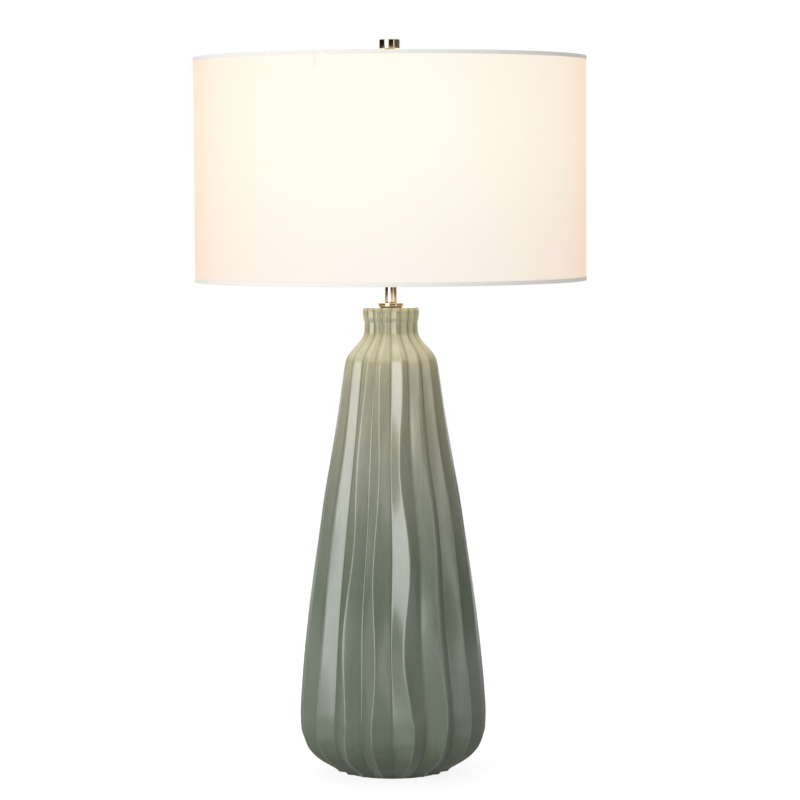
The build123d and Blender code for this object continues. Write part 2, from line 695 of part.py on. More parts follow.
# A flat strip across the rod whose ends rise as half-round channels
with BuildPart() as harp_saddle:
    with BuildSketch(Plane.XY.offset(SADDLE_BOTTOM)):
        Circle(SADDLE_BOSS_RADIUS)
        Rectangle(2 * HARP_FOOT_X, SADDLE_WIDTH)
        with Locations((-HARP_FOOT_X, 0), (HARP_FOOT_X, 0)):
            Circle(CHANNEL_OUTER_RADIUS)
        Circle(ROD_HOLE_RADIUS, mode=Mode.SUBTRACT)
    extrude(amount=SADDLE_THICKNESS)
    with BuildSketch(Plane.XY.offset(SADDLE_TOP)):
        with Locations((-HARP_FOOT_X, 0), (HARP_FOOT_X, 0)):
            Circle(CHANNEL_OUTER_RADIUS)
            Circle(CHANNEL_INNER_RADIUS, mode=Mode.SUBTRACT)
        opening_x = HARP_FOOT_X + CHANNEL_OPENING / 2
        with Locations((-opening_x, 0), (opening_x, 0)):
            Rectangle(CHANNEL_OPENING, CHANNEL_OPENING, mode=Mode.SUBTRACT)
    extrude(amount=CHANNEL_HEIGHT - SADDLE_THICKNESS)

# One bent wire: a straight foot in each channel, two bows and a level top
HARP_FOOT_Z = SADDLE_TOP + SEAT_GAP
harp_right = [
    (HARP_FOOT_X, HARP_FOOT_Z),
    (HARP_FOOT_X, SADDLE_TOP + HARP_KNEE),
    (HARP_WIDE_X, SADDLE_TOP + HARP_WIDE_FROM),
    (HARP_WIDE_X, SADDLE_TOP + HARP_WIDE_TO),
    (HARP_TOP_X, HARP_WIRE_TOP),
]
harp_left = [(-x, z) for x, z in reversed(harp_right)]

with BuildPart() as harp_wire:
    with BuildLine(Plane.XZ):
        FilletPolyline(*harp_right, *harp_left, radius=HARP_BOWS + HARP_BOWS[::-1])
    with BuildSketch(Plane.XY.offset(HARP_FOOT_Z)):
        with Locations((HARP_FOOT_X, 0)):
            Circle(HARP_WIRE_RADIUS)
    sweep()

# The bracket is clinched on the level top and carries the threaded stud
with BuildPart() as harp_bracket:
    with BuildSketch(Plane.XY.offset(BRACKET_BOTTOM)):
        Circle(BRACKET_RADIUS)
    extrude(amount=BRACKET_HEIGHT)
    with BuildSketch(Plane(origin=(0, 0, HARP_WIRE_TOP), z_dir=(1, 0, 0))):
        Circle(HARP_WIRE_RADIUS)
    extrude(amount=BRACKET_RADIUS, both=True, mode=Mode.SUBTRACT)

with BuildPart() as harp_stud:
    with BuildSketch(Plane.XY.offset(HARP_TOP)):
        Circle(STUD_RADIUS)
    extrude(amount=STUD_LENGTH)
    chamfer(harp_stud.edges().group_by(Axis.Z)[-1], EASE)


def harp_sleeve(side):
    """Locking sleeve around one foot of the harp, closed at its top to the wire."""
    bottom = SADDLE_TOP + SEAT_GAP
    with BuildPart() as sleeve:
        with BuildSketch(Plane.XY.offset(bottom)):
            with Locations((side * HARP_FOOT_X, 0)):
                Circle(SLEEVE_RADIUS)
                Circle(SLEEVE_BORE_RADIUS, mode=Mode.SUBTRACT)
        extrude(amount=SLEEVE_LENGTH - SLEEVE_CAP)
        with BuildSketch(Plane.XY.offset(bottom + SLEEVE_LENGTH - SLEEVE_CAP)):
            with Locations((side * HARP_FOOT_X, 0)):
                Circle(SLEEVE_RADIUS)
                Circle(SLEEVE_NECK_RADIUS, mode=Mode.SUBTRACT)
        extrude(amount=SLEEVE_CAP)
    return sleeve


# ------------------------------------------------------------------------- shade

PANEL_RADIUS = SHADE_RADIUS - HEM_THICKNESS
RING_RADIUS = PANEL_RADIUS - PANEL_THICKNESS - RING_WIRE_RADIUS - RING_GAP
RING_INSET = HEM_THICKNESS + RING_WIRE_RADIUS + RING_RIM_GAP  # rim to the wire's middle
TOP_RING_Z = SHADE_TOP - RING_INSET
ARM_RADIUS = RING_RADIUS - RING_WIRE_RADIUS - ARM_WIRE_RADIUS + ARM_BRAZE
ARM_Z = HUB_BOTTOM + HUB_THICKNESS / 2

# The top ring, three dropped arms and the washer are brazed into one spider
with BuildPart() as shade_spider:
    with BuildSketch(Plane.XZ):
        with Locations((RING_RADIUS, TOP_RING_Z)):
            Circle(RING_WIRE_RADIUS)
    revolve(axis=Axis.Z)
    for azimuth in ARM_AZIMUTHS:
        arm_plane = Plane(
            origin=(0, 0, 0),
            x_dir=(sin(radians(azimuth)), -cos(radians(azimuth)), 0),
            z_dir=(-cos(radians(azimuth)), -sin(radians(azimuth)), 0),
        )
        with BuildLine(arm_plane) as arm_path:
            FilletPolyline(
                (ARM_START, ARM_Z),
                (ARM_RADIUS, ARM_Z),
                (ARM_RADIUS, TOP_RING_Z),
                radius=ARM_BEND,
            )
        with BuildSketch(Plane(origin=arm_path.line @ 0, z_dir=arm_path.line % 0)):
            Circle(ARM_WIRE_RADIUS)
        sweep(path=arm_path.line)
    with BuildSketch(Plane.XY.offset(HUB_BOTTOM)):
        Circle(HUB_RADIUS)
    extrude(amount=HUB_THICKNESS)
    with BuildSketch(Plane.XY.offset(HUB_BOTTOM)):
        Circle(HUB_HOLE_RADIUS)
    extrude(amount=HUB_THICKNESS, mode=Mode.SUBTRACT)

with BuildPart() as shade_bottom_ring:
    with BuildSketch(Plane.XZ):
        with Locations((RING_RADIUS, SHADE_BOTTOM + RING_INSET)):
            Circle(RING_WIRE_RADIUS)
    revolve(axis=Axis.Z)

shade_panel = tube(
    SHADE_BOTTOM + HEM_THICKNESS,
    SHADE_TOP - SHADE_BOTTOM - 2 * HEM_THICKNESS,
    PANEL_RADIUS,
    PANEL_RADIUS - PANEL_THICKNESS,
)


def shade_hem(rim, inward):
    """Folded band around one rim; inward is -1 for the top rim and 1 for the bottom."""
    return turned(
        [
            (HEM_FLANGE_RADIUS, rim),
            (SHADE_RADIUS, rim),
            (SHADE_RADIUS, rim + inward * HEM_HEIGHT),
            (PANEL_RADIUS, rim + inward * HEM_HEIGHT),
            (PANEL_RADIUS, rim + inward * HEM_THICKNESS),
            (HEM_FLANGE_RADIUS, rim + inward * HEM_THICKNESS),
        ]
    )


# ------------------------------------------------------------------------ finial

with BuildPart() as finial:
    with BuildSketch(Plane.XY.offset(FINIAL_BOTTOM)):
        Circle(FINIAL_STEM_RADIUS)
    extrude(amount=FINIAL_TOP - FINIAL_HEAD - FINIAL_BOTTOM)
    with BuildSketch(Plane.XY.offset(FINIAL_TOP - FINIAL_HEAD)):
        Circle(FINIAL_HEAD_RADIUS)
    extrude(amount=FINIAL_HEAD)
    head_rims = finial.edges().filter_by(GeomType.CIRCLE).sort_by(SortBy.RADIUS)[-2:]
    fillet(head_rims, EASE)
    with BuildSketch(Plane.XY.offset(FINIAL_BOTTOM)):
        Circle(FINIAL_BORE_RADIUS)
    extrude(amount=FINIAL_BORE_DEPTH, mode=Mode.SUBTRACT)

# ------------------------------------------------------------------------ export

PIECES = {
    "felt_pad": felt_pad,
    "ceramic_body": ceramic_body,
    "cord_bush": cord_bush,
    "bottom_washer": bottom_washer,
    "bottom_lock_washer": bottom_lock_washer,
    "bottom_nut": bottom_nut,
    "threaded_rod": threaded_rod,
    "neck_gasket": neck_gasket,
    "check_ring": check_ring,
    "neck_tube": neck_tube,
    "saddle_nut": saddle_nut,
    "harp_saddle": harp_saddle,
    "lampholder_cap": lampholder_cap,
    "lampholder_shell": lampholder_shell,
    "lampholder_liner": lampholder_liner,
    "lampholder_insulator": lampholder_insulator,
    "terminal_screws": terminal_screws,
    "screw_shell": screw_shell,
    "centre_contact": centre_contact,
    "switch_shaft": switch_shaft,
    "switch_knob": switch_knob,
    "bulb_contact": bulb_contact,
    "bulb_insulator": bulb_insulator,
    "bulb_cap": bulb_cap,
    "bulb_collar": bulb_collar,
    "led_board": led_board,
    "bulb_globe": bulb_globe,
    "harp_wire": harp_wire,
    "harp_bracket": harp_bracket,
    "harp_stud": harp_stud,
    "harp_sleeve_left": harp_sleeve(-1),
    "harp_sleeve_right": harp_sleeve(1),
    "shade_spider": shade_spider,
    "shade_bottom_ring": shade_bottom_ring,
    "shade_panel": shade_panel,
    "shade_hem_top": shade_hem(SHADE_TOP, -1),
    "shade_hem_bottom": shade_hem(SHADE_BOTTOM, 1),
    "finial": finial,
}

os.makedirs("parts", exist_ok=True)
for name, piece in PIECES.items():
    piece.part.label = name
    export_step(piece.part, f"parts/{name}.step")
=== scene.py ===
"""Visual model of a table lamp: a fluted ceramic body, a harp and a lit drum shade.

Every piece is in metres, in the frame of the CAD solids: +Z is up and -Y is the front.
"""

import logging
import math
from dataclasses import dataclass, field
from enum import Enum
from typing import Iterable, Mapping, Sequence

import bmesh
import bpy
from mathutils import Matrix, Vector


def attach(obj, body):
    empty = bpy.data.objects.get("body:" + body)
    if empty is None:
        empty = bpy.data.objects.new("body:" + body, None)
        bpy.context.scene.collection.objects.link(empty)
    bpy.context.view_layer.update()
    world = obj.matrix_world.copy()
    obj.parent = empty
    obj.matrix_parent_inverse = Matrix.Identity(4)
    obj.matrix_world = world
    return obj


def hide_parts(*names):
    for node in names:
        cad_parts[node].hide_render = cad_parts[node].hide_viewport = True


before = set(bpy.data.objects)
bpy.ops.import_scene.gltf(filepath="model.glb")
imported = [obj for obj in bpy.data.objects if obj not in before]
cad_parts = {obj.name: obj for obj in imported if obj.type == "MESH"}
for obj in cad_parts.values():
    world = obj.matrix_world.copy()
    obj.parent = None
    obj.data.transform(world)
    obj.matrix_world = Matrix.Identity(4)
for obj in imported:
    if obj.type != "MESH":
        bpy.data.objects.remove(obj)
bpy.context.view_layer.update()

LOG = logging.getLogger("lamp")
MM = 0.001
WELD = 2e-6  # vertices nearer than this are one
SHARP = 40.0  # degrees between faces above which an edge stays sharp
STEP = (-0.01, 0.01)  # between these an eased value turns from off to on

Colour = tuple[float, float, float]
Point = tuple[float, float]


# ------------------------------------------------------------------ node trees


class Term:
    """A node's output socket, on which Python's operators add Math nodes."""

    def __init__(self, nodes: "Nodes", socket: bpy.types.NodeSocket) -> None:
        """Keeps the tree that the socket is in, and the socket."""
        self.nodes = nodes
        self.socket = socket

    def __add__(self, other: "Value") -> "Term":
        """Sum of two values."""
        return self.nodes.math("ADD", self, other)

    __radd__ = __add__

    def __mul__(self, other: "Value") -> "Term":
        """Product of two values."""
        return self.nodes.math("MULTIPLY", self, other)

    __rmul__ = __mul__

    def __sub__(self, other: "Value") -> "Term":
        """Difference of two values."""
        return self.nodes.math("SUBTRACT", self, other)

    def __rsub__(self, other: "Value") -> "Term":
        """Difference with this value taken away."""
        return self.nodes.math("SUBTRACT", other, self)

    def __truediv__(self, other: "Value") -> "Term":
        """Quotient of two values."""
        return self.nodes.math("DIVIDE", self, other)

    def __rtruediv__(self, other: "Value") -> "Term":
        """Quotient with this value below the line."""
        return self.nodes.math("DIVIDE", other, self)

    def __pow__(self, power: "Value") -> "Term":
        """This value raised to a power."""
        return self.nodes.math("POWER", self, power)

    def __mod__(self, other: "Value") -> "Term":
        """Remainder, never negative."""
        return self.nodes.math("FLOORED_MODULO", self, other)

    def __neg__(self) -> "Term":
        """This value with its sign turned."""
        return self * -1.0

    def __abs__(self) -> "Term":
        """Size of the value without its sign."""
        return self.nodes.math("ABSOLUTE", self)

    def least(self, other: "Value") -> "Term":
        """Smaller of two values."""
        return self.nodes.math("MINIMUM", self, other)

    def most(self, other: "Value") -> "Term":
        """Larger of two values."""
        return self.nodes.math("MAXIMUM", self, other)

    def within(self, low: float = 0.0, high: float = 1.0) -> "Term":
        """Value held between two limits."""
        return self.most(low).least(high)

    def floor(self) -> "Term":
        """Whole number at or below the value."""
        return self.nodes.math("FLOOR", self)

    def sine(self) -> "Term":
        """Sine of an angle in radians."""
        return self.nodes.math("SINE", self)

    def cosine(self) -> "Term":
        """Cosine of an angle in radians."""
        return self.nodes.math("COSINE", self)

    def eased(self, low: float, high: float) -> "Term":
        """Smooth step from 0 at low to 1 at high."""
        return self.nodes.add(
            "ShaderNodeMapRange",
            {"interpolation_type": "SMOOTHSTEP"},
            {"Value": self, "From Min": low, "From Max": high},
        )

    def ramp(self, stops: Sequence[tuple[float, Colour]]) -> "Term":
        """Colour that follows the value.

        Args:
            stops: position from 0 to 1 and colour of each stop, in order.

        Returns:
            The colour.
        """
        return self.nodes.add("ShaderNodeValToRGB", {"stops": stops}, {"Fac": self})


Value = Term | float | int
Input = Term | float | int | str | tuple | list | bpy.types.ID


class Nodes:
    """A node tree in the making, for a finish or for geometry."""

    def __init__(self, tree: bpy.types.NodeTree) -> None:
        """Keeps the tree."""
        self.tree = tree

    def add(
        self,
        kind: str,
        settings: Mapping[str, object] | None = None,
        inputs: Mapping[str | int, Input] | None = None,
        output: str | int = 0,
    ) -> Term:
        """Adds a node.

        Args:
            kind: the node's type.
            settings: its properties, set first; stops fill a colour ramp and
                cases is how many values an index switch chooses from.
            inputs: values or links of its input sockets.
            output: the output socket that is wanted.

        Returns:
            That output.
        """
        node = self.tree.nodes.new(kind)
        for name, setting in (settings or {}).items():
            if name == "stops":
                self._fill_ramp(node.color_ramp, setting)
            elif name == "cases":
                for _ in range(setting - len(node.index_switch_items)):
                    node.index_switch_items.new()
            else:
                setattr(node, name, setting)
        self.fill(node, inputs or {})
        return Term(self, node.outputs[output])

    def fill(self, node: bpy.types.Node, inputs: Mapping[str | int, Input]) -> None:
        """Sets or links several inputs of a node."""
        for name, value in inputs.items():
            self.feed(node.inputs[name], value)

    def feed(self, socket: bpy.types.NodeSocket, value: Input) -> None:
        """Links or sets an input socket; a list of terms goes into a multi-input."""
        if isinstance(value, Term):
            self.tree.links.new(value.socket, socket)
        elif isinstance(value, list):
            for term in value:
                self.tree.links.new(term.socket, socket)
        else:
            socket.default_value = value

    @staticmethod
    def _fill_ramp(
        ramp: bpy.types.ColorRamp, stops: Sequence[tuple[float, Colour]]
    ) -> None:
        """Gives a ramp its stops."""
        while len(ramp.elements) < len(stops):
            ramp.elements.new(1.0)
        for element, (place, colour) in zip(ramp.elements, stops):
            element.position = place
            element.color = (*colour, 1.0)

    def math(self, operation: str, first: Value, second: Value = 0.0) -> Term:
        """Adds a Math node."""
        return self.add(
            "ShaderNodeMath", {"operation": operation}, {0: first, 1: second}
        )

    def vector(self, operation: str, first: Input, second: Input) -> Term:
        """Adds a Vector Math node on two vectors."""
        return self.add(
            "ShaderNodeVectorMath", {"operation": operation}, {0: first, 1: second}
        )

    def scaled(self, vector: Input, factor: Value) -> Term:
        """Vector or colour times a number."""
        return self.add(
            "ShaderNodeVectorMath",
            {"operation": "SCALE"},
            {"Vector": vector, "Scale": factor},
        )

    def combined(self, x: Value, y: Value, z: Value) -> Term:
        """Vector from three numbers."""
        return self.add("ShaderNodeCombineXYZ", {}, {"X": x, "Y": y, "Z": z})

    def parts(self, vector: Term) -> tuple[Term, Term, Term]:
        """Three numbers of a vector."""
        first = self.add("ShaderNodeSeparateXYZ", {}, {"Vector": vector})
        outputs = first.socket.node.outputs
        return first, Term(self, outputs["Y"]), Term(self, outputs["Z"])

    def reach(self, x: Term, y: Term) -> Term:
        """Distance from the lamp's axis."""
        return self.math("POWER", x * x + y * y, 0.5)

    def place(self) -> Term:
        """Object coordinates of the shaded point."""
        return self.add("ShaderNodeTexCoord", {}, {}, "Object")

    def attribute(self, name: str) -> Term:
        """A number that the mesh carries."""
        return self.add("ShaderNodeAttribute", {"attribute_name": name}, {}, "Fac")

    def noise(
        self, vector: Term, scale: float, detail: float = 2.0, rough: float = 0.5
    ) -> Term:
        """Noise from 0 to 1.

        Args:
            vector: where it is read.
            scale: its fineness per metre of the vector.
            detail: how many octaves it has.
            rough: how strong the finer octaves are.

        Returns:
            The noise.
        """
        return self.add(
            "ShaderNodeTexNoise",
            {},
            {"Vector": vector, "Scale": scale, "Detail": detail, "Roughness": rough},
        )

    def cells(self, vector: Term, scale: float) -> Term:
        """Distance to the nearest of scattered points."""
        return self.add(
            "ShaderNodeTexVoronoi", {}, {"Vector": vector, "Scale": scale}, "Distance"
        )

    def blended(
        self, factor: Value, first: Input, second: Input, way: str = "MIX"
    ) -> Term:
        """Two colours mixed.

        Args:
            factor: share of the second colour.
            first: the colour below.
            second: the colour above.
            way: the mix's blend type.

        Returns:
            The mixed colour.
        """
        return self.add(
            "ShaderNodeMix",
            {"data_type": "RGBA", "blend_type": way},
            {0: factor, 6: opaque(first), 7: opaque(second)},
            2,
        )

    def bump(self, height: Term, distance: float) -> Term:
        """Normal that follows a height map.

        Args:
            height: the height from 0 to 1.
            distance: depth in metres of a height of 1.

        Returns:
            The normal.
        """
        return self.add("ShaderNodeBump", {}, {"Height": height, "Distance": distance})


def opaque(colour: Input) -> Input:
    """Colour with a full alpha, unless it is a link."""
    return (*colour, 1.0) if isinstance(colour, tuple) and len(colour) == 3 else colour


class Recipe:
    """A Geometry Nodes tree with named inputs that ends in Set Material."""

    def __init__(self, name: str, sizes: Mapping[str, float | int]) -> None:
        """Makes the tree with one named input for each size.

        Args:
            name: the tree's name.
            sizes: the inputs' names and values.
        """
        self.group = bpy.data.node_groups.new(name, "GeometryNodeTree")
        self.nodes = Nodes(self.group)
        self.sizes = dict(sizes)
        face = self.group.interface
        face.new_socket("Geometry", in_out="INPUT", socket_type="NodeSocketGeometry")
        face.new_socket("Geometry", in_out="OUTPUT", socket_type="NodeSocketGeometry")
        self.sockets = {}
        for size, value in sizes.items():
            kind = "NodeSocketInt" if isinstance(value, int) else "NodeSocketFloat"
            self.sockets[size] = face.new_socket(
                size, in_out="INPUT", socket_type=kind
            )
        self.sockets["Material"] = face.new_socket(
            "Material", in_out="INPUT", socket_type="NodeSocketMaterial"
        )
        self.entry = self.group.nodes.new("NodeGroupInput")

    def __getitem__(self, name: str) -> Term:
        """One of the tree's inputs."""
        return Term(self.nodes, self.entry.outputs[name])

    def grid(self, columns: Term, rows: Term) -> tuple[Term, Term, Term]:
        """Lays the flat grid that a shape is wrapped from.

        Args:
            columns: how many squares it has around.
            rows: how many points it has along.

        Returns:
            The grid, and the column and the row of each of its points.
        """
        grid = self.nodes.add(
            "GeometryNodeMeshGrid",
            {},
            {"Size X": 1.0, "Size Y": 1.0, "Vertices X": columns + 1.25,
             "Vertices Y": rows},
        )
        across, along, _ = self.nodes.parts(self.nodes.add("GeometryNodeInputPosition"))
        column = ((across + 0.5) * columns + 0.5).floor()
        row = ((along + 0.5) * (rows - 1.0) + 0.5).floor()
        return grid, column, row

    def wrap(self, grid: Term, placed: Term) -> None:
        """Moves the grid's points to their places, welds its seams and ends the tree."""
        shaped = self.nodes.add(
            "GeometryNodeSetPosition", {}, {"Geometry": grid, "Position": placed}
        )
        welded = self.nodes.add(
            "GeometryNodeMergeByDistance", {}, {"Geometry": shaped, "Distance": WELD}
        )
        self.close(welded)

    def close(self, geometry: Term) -> None:
        """Ends the tree in Realize Instances and Set Material."""
        real = self.nodes.add(
            "GeometryNodeRealizeInstances", {}, {"Geometry": geometry}
        )
        done = self.nodes.add(
            "GeometryNodeSetMaterial",
            {},
            {"Geometry": real, "Material": self["Material"]},
        )
        exit_node = self.group.nodes.new("NodeGroupOutput")
        self.group.links.new(done.socket, exit_node.inputs["Geometry"])

    def run(
        self, name: str, start: bpy.types.Mesh, material: bpy.types.Material
    ) -> bpy.types.Object:
        """Runs the tree on a mesh.

        Args:
            name: name of the piece.
            start: the mesh that goes in.
            material: the finish.

        Returns:
            The piece, as a plain mesh without the modifier.
        """
        piece = bpy.data.objects.new(name, start)
        bpy.context.scene.collection.objects.link(piece)
        modifier = piece.modifiers.new(self.group.name, "NODES")
        modifier.node_group = self.group
        for size, value in self.sizes.items():
            modifier[self.sockets[size].identifier] = value
        modifier[self.sockets["Material"].identifier] = material
        apply_modifiers(piece)
        smooth(piece.data)
        return piece


# ---------------------------------------------------------------------- meshes


def apply_modifiers(piece: bpy.types.Object) -> None:
    """Makes what a piece's modifiers show its plain mesh, and removes them."""
    graph = bpy.context.evaluated_depsgraph_get()
    made = bpy.data.meshes.new_from_object(piece.evaluated_get(graph))
    piece.modifiers.clear()
    piece.data = made
    made.name = piece.name


def shade_smooth(mesh: bpy.types.Mesh, angle: float = SHARP) -> None:
    """Shades a mesh smooth, but for edges sharper than an angle in degrees."""
    for polygon in mesh.polygons:
        polygon.use_smooth = True
    mesh.set_sharp_from_angle(angle=math.radians(angle))


def smooth(mesh: bpy.types.Mesh, angle: float = SHARP) -> None:
    """Welds a mesh, turns its faces outwards and shades it smooth but for its edges.

    Args:
        mesh: the mesh.
        angle: degrees between faces above which an edge stays sharp.
    """
    work = bmesh.new()
    work.from_mesh(mesh)
    bmesh.ops.remove_doubles(work, verts=work.verts, dist=WELD)
    bmesh.ops.dissolve_degenerate(work, edges=work.edges, dist=WELD / 10)
    bmesh.ops.recalc_face_normals(work, faces=work.faces)
    work.to_mesh(mesh)
    work.free()
    shade_smooth(mesh, angle)


def new_piece(
    name: str,
    points: Sequence[tuple[float, float, float]],
    faces: Sequence[Sequence[int]],
    material: bpy.types.Material,
    angle: float = SHARP,
) -> bpy.types.Object:
    """Makes a piece from points and faces.

    Args:
        name: name of the piece.
        points: its vertices in metres.
        faces: its faces.
        material: the finish.
        angle: degrees above which an edge stays sharp.

    Returns:
        The piece.
    """
    mesh = bpy.data.meshes.new(name)
    mesh.from_pydata(list(points), [], list(faces))
    mesh.materials.append(material)
    smooth(mesh, angle)
    piece = bpy.data.objects.new(name, mesh)
    bpy.context.scene.collection.objects.link(piece)
    return piece


def turned(
    name: str,
    outline: Sequence[Point],
    material: bpy.types.Material,
    sides: int = 96,
    at: Matrix | None = None,
) -> bpy.types.Object:
    """Turns a closed outline about an axis.

    Args:
        name: name of the piece.
        outline: radius and height of its points, in metres.
        material: the finish.
        sides: how many flats the round is made of.
        at: where its axis stands; upright on the lamp's axis without one.

    Returns:
        The piece.
    """
    at = at or Matrix.Identity(4)
    points, faces = [], []
    for side in range(sides):
        turn = 2 * math.pi * side / sides
        for radius, height in outline:
            place = Vector((radius * math.cos(turn), radius * math.sin(turn), height))
            points.append(tuple(at @ place))
    count = len(outline)
    for side in range(sides):
        here, there = side * count, (side + 1) % sides * count
        for low in range(count):
            high = (low + 1) % count
            faces.append((here + low, there + low, there + high, here + high))
    return new_piece(name, points, faces, material)


def eased_outline(
    corners: Sequence[tuple[float, float, float]], steps: int = 4
) -> list[Point]:
    """Rounds the corners of a closed outline.

    Args:
        corners: radius, height and rounding of each corner, in millimetres.
        steps: points along each rounding.

    Returns:
        The outline in metres.
    """
    outline = []
    for index, (x, z, ease) in enumerate(corners):
        here = Vector((x, z))
        before = Vector(corners[index - 1][:2])
        after = Vector(corners[(index + 1) % len(corners)][:2])
        if ease <= 0:
            outline.append((x * MM, z * MM))
            continue
        start = here + (before - here).normalized() * ease
        end = here + (after - here).normalized() * ease
        for step in range(steps + 1):
            t = step / steps
            point = start * (1 - t) ** 2 + here * 2 * t * (1 - t) + end * t**2
            outline.append((point.x * MM, point.y * MM))
    return outline


def dress(node: str, material: bpy.types.Material) -> bpy.types.Object:
    """Gives a carried-over CAD node its finish."""
    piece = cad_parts[node]
    if not piece.material_slots:
        piece.data.materials.append(material)
    for place in piece.material_slots:
        place.material = material
    return piece


def dress_nodes(finish: "Finish", *nodes: str) -> None:
    """Gives carried-over CAD nodes a finish."""
    for node in nodes:
        dress(node, finish.material())


def settle(
    piece: bpy.types.Object, body: str, finish: "Finish", *nodes: str
) -> bpy.types.Object:
    """Puts a finished piece on its body, in place of the CAD nodes it stands for.

    Args:
        piece: the piece.
        body: the CAD body that it rides on.
        finish: its finish, which the CAD nodes that it replaces also get.
        nodes: the CAD nodes that it replaces.

    Returns:
        The piece.
    """
    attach(piece, body)
    for node in nodes:
        dress(node, finish.material())
        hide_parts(node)
    LOG.info("%s: %d faces on %s", piece.name, len(piece.data.polygons), body)
    return piece


def lathe(
    name: str, corners: Sequence[tuple[float, float, float]], sides: int, body: str,
    finish: "Finish", *nodes: str,
) -> None:
    """Turns an upright piece with eased corners and puts it on its body.

    Args:
        name: name of the piece.
        corners: radius, height and rounding of each corner, in millimetres.
        sides: how many flats the round is made of.
        body: the CAD body that it rides on.
        finish: its finish.
        nodes: the CAD nodes that it replaces.
    """
    piece = turned(name, eased_outline(corners), finish.material(), sides)
    settle(piece, body, finish, *nodes)


# --------------------------------------------------------------------- finishes


class Grain(Enum):
    """How the fine marks of a metal's finish run."""

    TURNED = "turned"
    DRAWN = "drawn"
    CAST = "cast"


_MADE: dict[str, bpy.types.Material] = {}


@dataclass(frozen=True)
class Finish:
    """A surface that a piece is made in."""

    slot: str
    name: str

    def material(self) -> bpy.types.Material:
        """The finish's material, made once."""
        if self.name not in _MADE:
            made = bpy.data.materials.new(self.name)
            made.use_nodes = True
            shader = made.node_tree.nodes["Principled BSDF"]
            self.paint(Nodes(made.node_tree), shader)
            _MADE[self.name] = made
        return _MADE[self.name]

    def paint(self, nodes: Nodes, shader: bpy.types.Node) -> None:
        """Builds the material's nodes.

        Args:
            nodes: the material's tree.
            shader: its Principled shader.
        """
        raise NotImplementedError


@dataclass(frozen=True)
class Glaze(Finish):
    """Satin green-grey glaze, cream at the neck, thin on the crests, bare underneath;
    partly painted light and shade.
    """

    # neck, lip, foot and sole colours mix the glaze with painted light: warm bulb light on
    # the neck, painted shade at the lip, foot and sole
    neck: Colour = (0.41, 0.415, 0.29)
    lip_glaze_and_shade: Colour = (0.36, 0.355, 0.225)
    shoulder: Colour = (0.355, 0.352, 0.276)
    middle: Colour = (0.262, 0.287, 0.222)
    low: Colour = (0.156, 0.197, 0.137)
    foot: Colour = (0.126, 0.164, 0.096)
    sole_glaze_and_shade: Colour = (0.066, 0.092, 0.034)
    crest_glaze_and_highlight: Colour = (0.50, 0.50, 0.42)
    pooled: Colour = (0.48, 0.52, 0.34)
    thread: Colour = (0.36, 0.34, 0.20)
    clay: Colour = (0.56, 0.50, 0.42)
    top: float = 547 * MM

    def paint(self, nodes: Nodes, shader: bpy.types.Node) -> None:
        """Mixes the glaze by height, by its streaks and by how near a crest is."""
        place = nodes.place()
        x, y, z = nodes.parts(place)
        distance = nodes.reach(x, y)
        streaked = nodes.combined(x, y, z * 0.045)
        streaks = nodes.noise(streaked, 260.0, 3.0, 0.6)
        threads = nodes.noise(nodes.combined(x, y, z * 0.02), 700.0, 2.0)
        clouds = nodes.noise(place, 16.0, 3.0)
        wander = (clouds - 0.5) * 0.05 + (streaks - 0.5) * 0.07
        level = z / self.top + wander
        # Colour by height: partly the glaze's own change from sage to cream, partly painted
        # light: warm bulb light on the shoulder and neck, painted shade at the lip under
        # the shade and growing towards the foot and sole
        body = level.ramp(
            [
                (0.0, self.sole_glaze_and_shade),
                (0.045, self.foot),
                (0.10, self.low),
                (0.40, self.low),
                (0.60, self.middle),
                (0.84, self.shoulder),
                (0.885, self.neck),
                (0.925, self.neck),
                (0.965, self.lip_glaze_and_shade),
            ]
        )
        tone = 0.72 + streaks * 0.22 + clouds * 0.12 + threads * 0.22
        body = nodes.scaled(body, tone)
        olive = threads.eased(0.52, 0.66) * level.eased(0.45, 0.85) * 0.5
        body = nodes.blended(olive, body, self.thread)
        fine = nodes.noise(place, 900.0, 2.0)
        body = nodes.blended((fine - 0.5) * 0.5, body, (0.30, 0.33, 0.27))
        specks = nodes.cells(place, 70.0)
        rare = nodes.noise(place, 35.0, 1.0).eased(0.62, 0.72)
        body = nodes.blended(
            (1.0 - specks.eased(0.02, 0.055)) * rare * 0.55, body, (0.055, 0.060, 0.045)
        )
        hollow = nodes.attribute("hollow")
        pool = hollow * (0.5 + level.eased(0.68, 0.88) * 0.5)
        body = nodes.blended(pool, body, self.pooled, "MULTIPLY")
        # Pale glaze thinning on the crests, which also paints in part of the crests'
        # highlight lines
        crest = nodes.attribute("crest")
        edge_noise = nodes.noise(place, 55.0, 2.0).eased(0.25, 0.7)
        body = nodes.blended(
            (crest**3.0) * (0.25 + edge_noise * 0.5), body, self.crest_glaze_and_highlight
        )
        ring = (1.0 - z.eased(0.0020, 0.0023)).most(
            (1.0 - distance.eased(0.0525, 0.0535)) * (1.0 - z.eased(0.0200, 0.0220))
        )
        grit = nodes.noise(place, 1400.0, 2.0)
        clay = nodes.scaled(self.clay, 0.82 + grit * 0.3)
        colour = nodes.blended(ring, body, clay)
        gloss = 0.27 + clouds * 0.10 + fine * 0.06
        height = (
            streaks * 0.5
            + nodes.noise(place, 140.0, 2.0) * 0.35
            + fine * 0.05
            + grit * ring * 0.4
        )
        nodes.fill(shader, {
            "Base Color": colour,
            "Roughness": gloss + ring * 0.45,
            "Coat Weight": 0.95 - ring * 0.95,
            "Coat Roughness": 0.22,
            "Coat IOR": 1.66,
            "Normal": nodes.bump(height, 0.00015),
        })


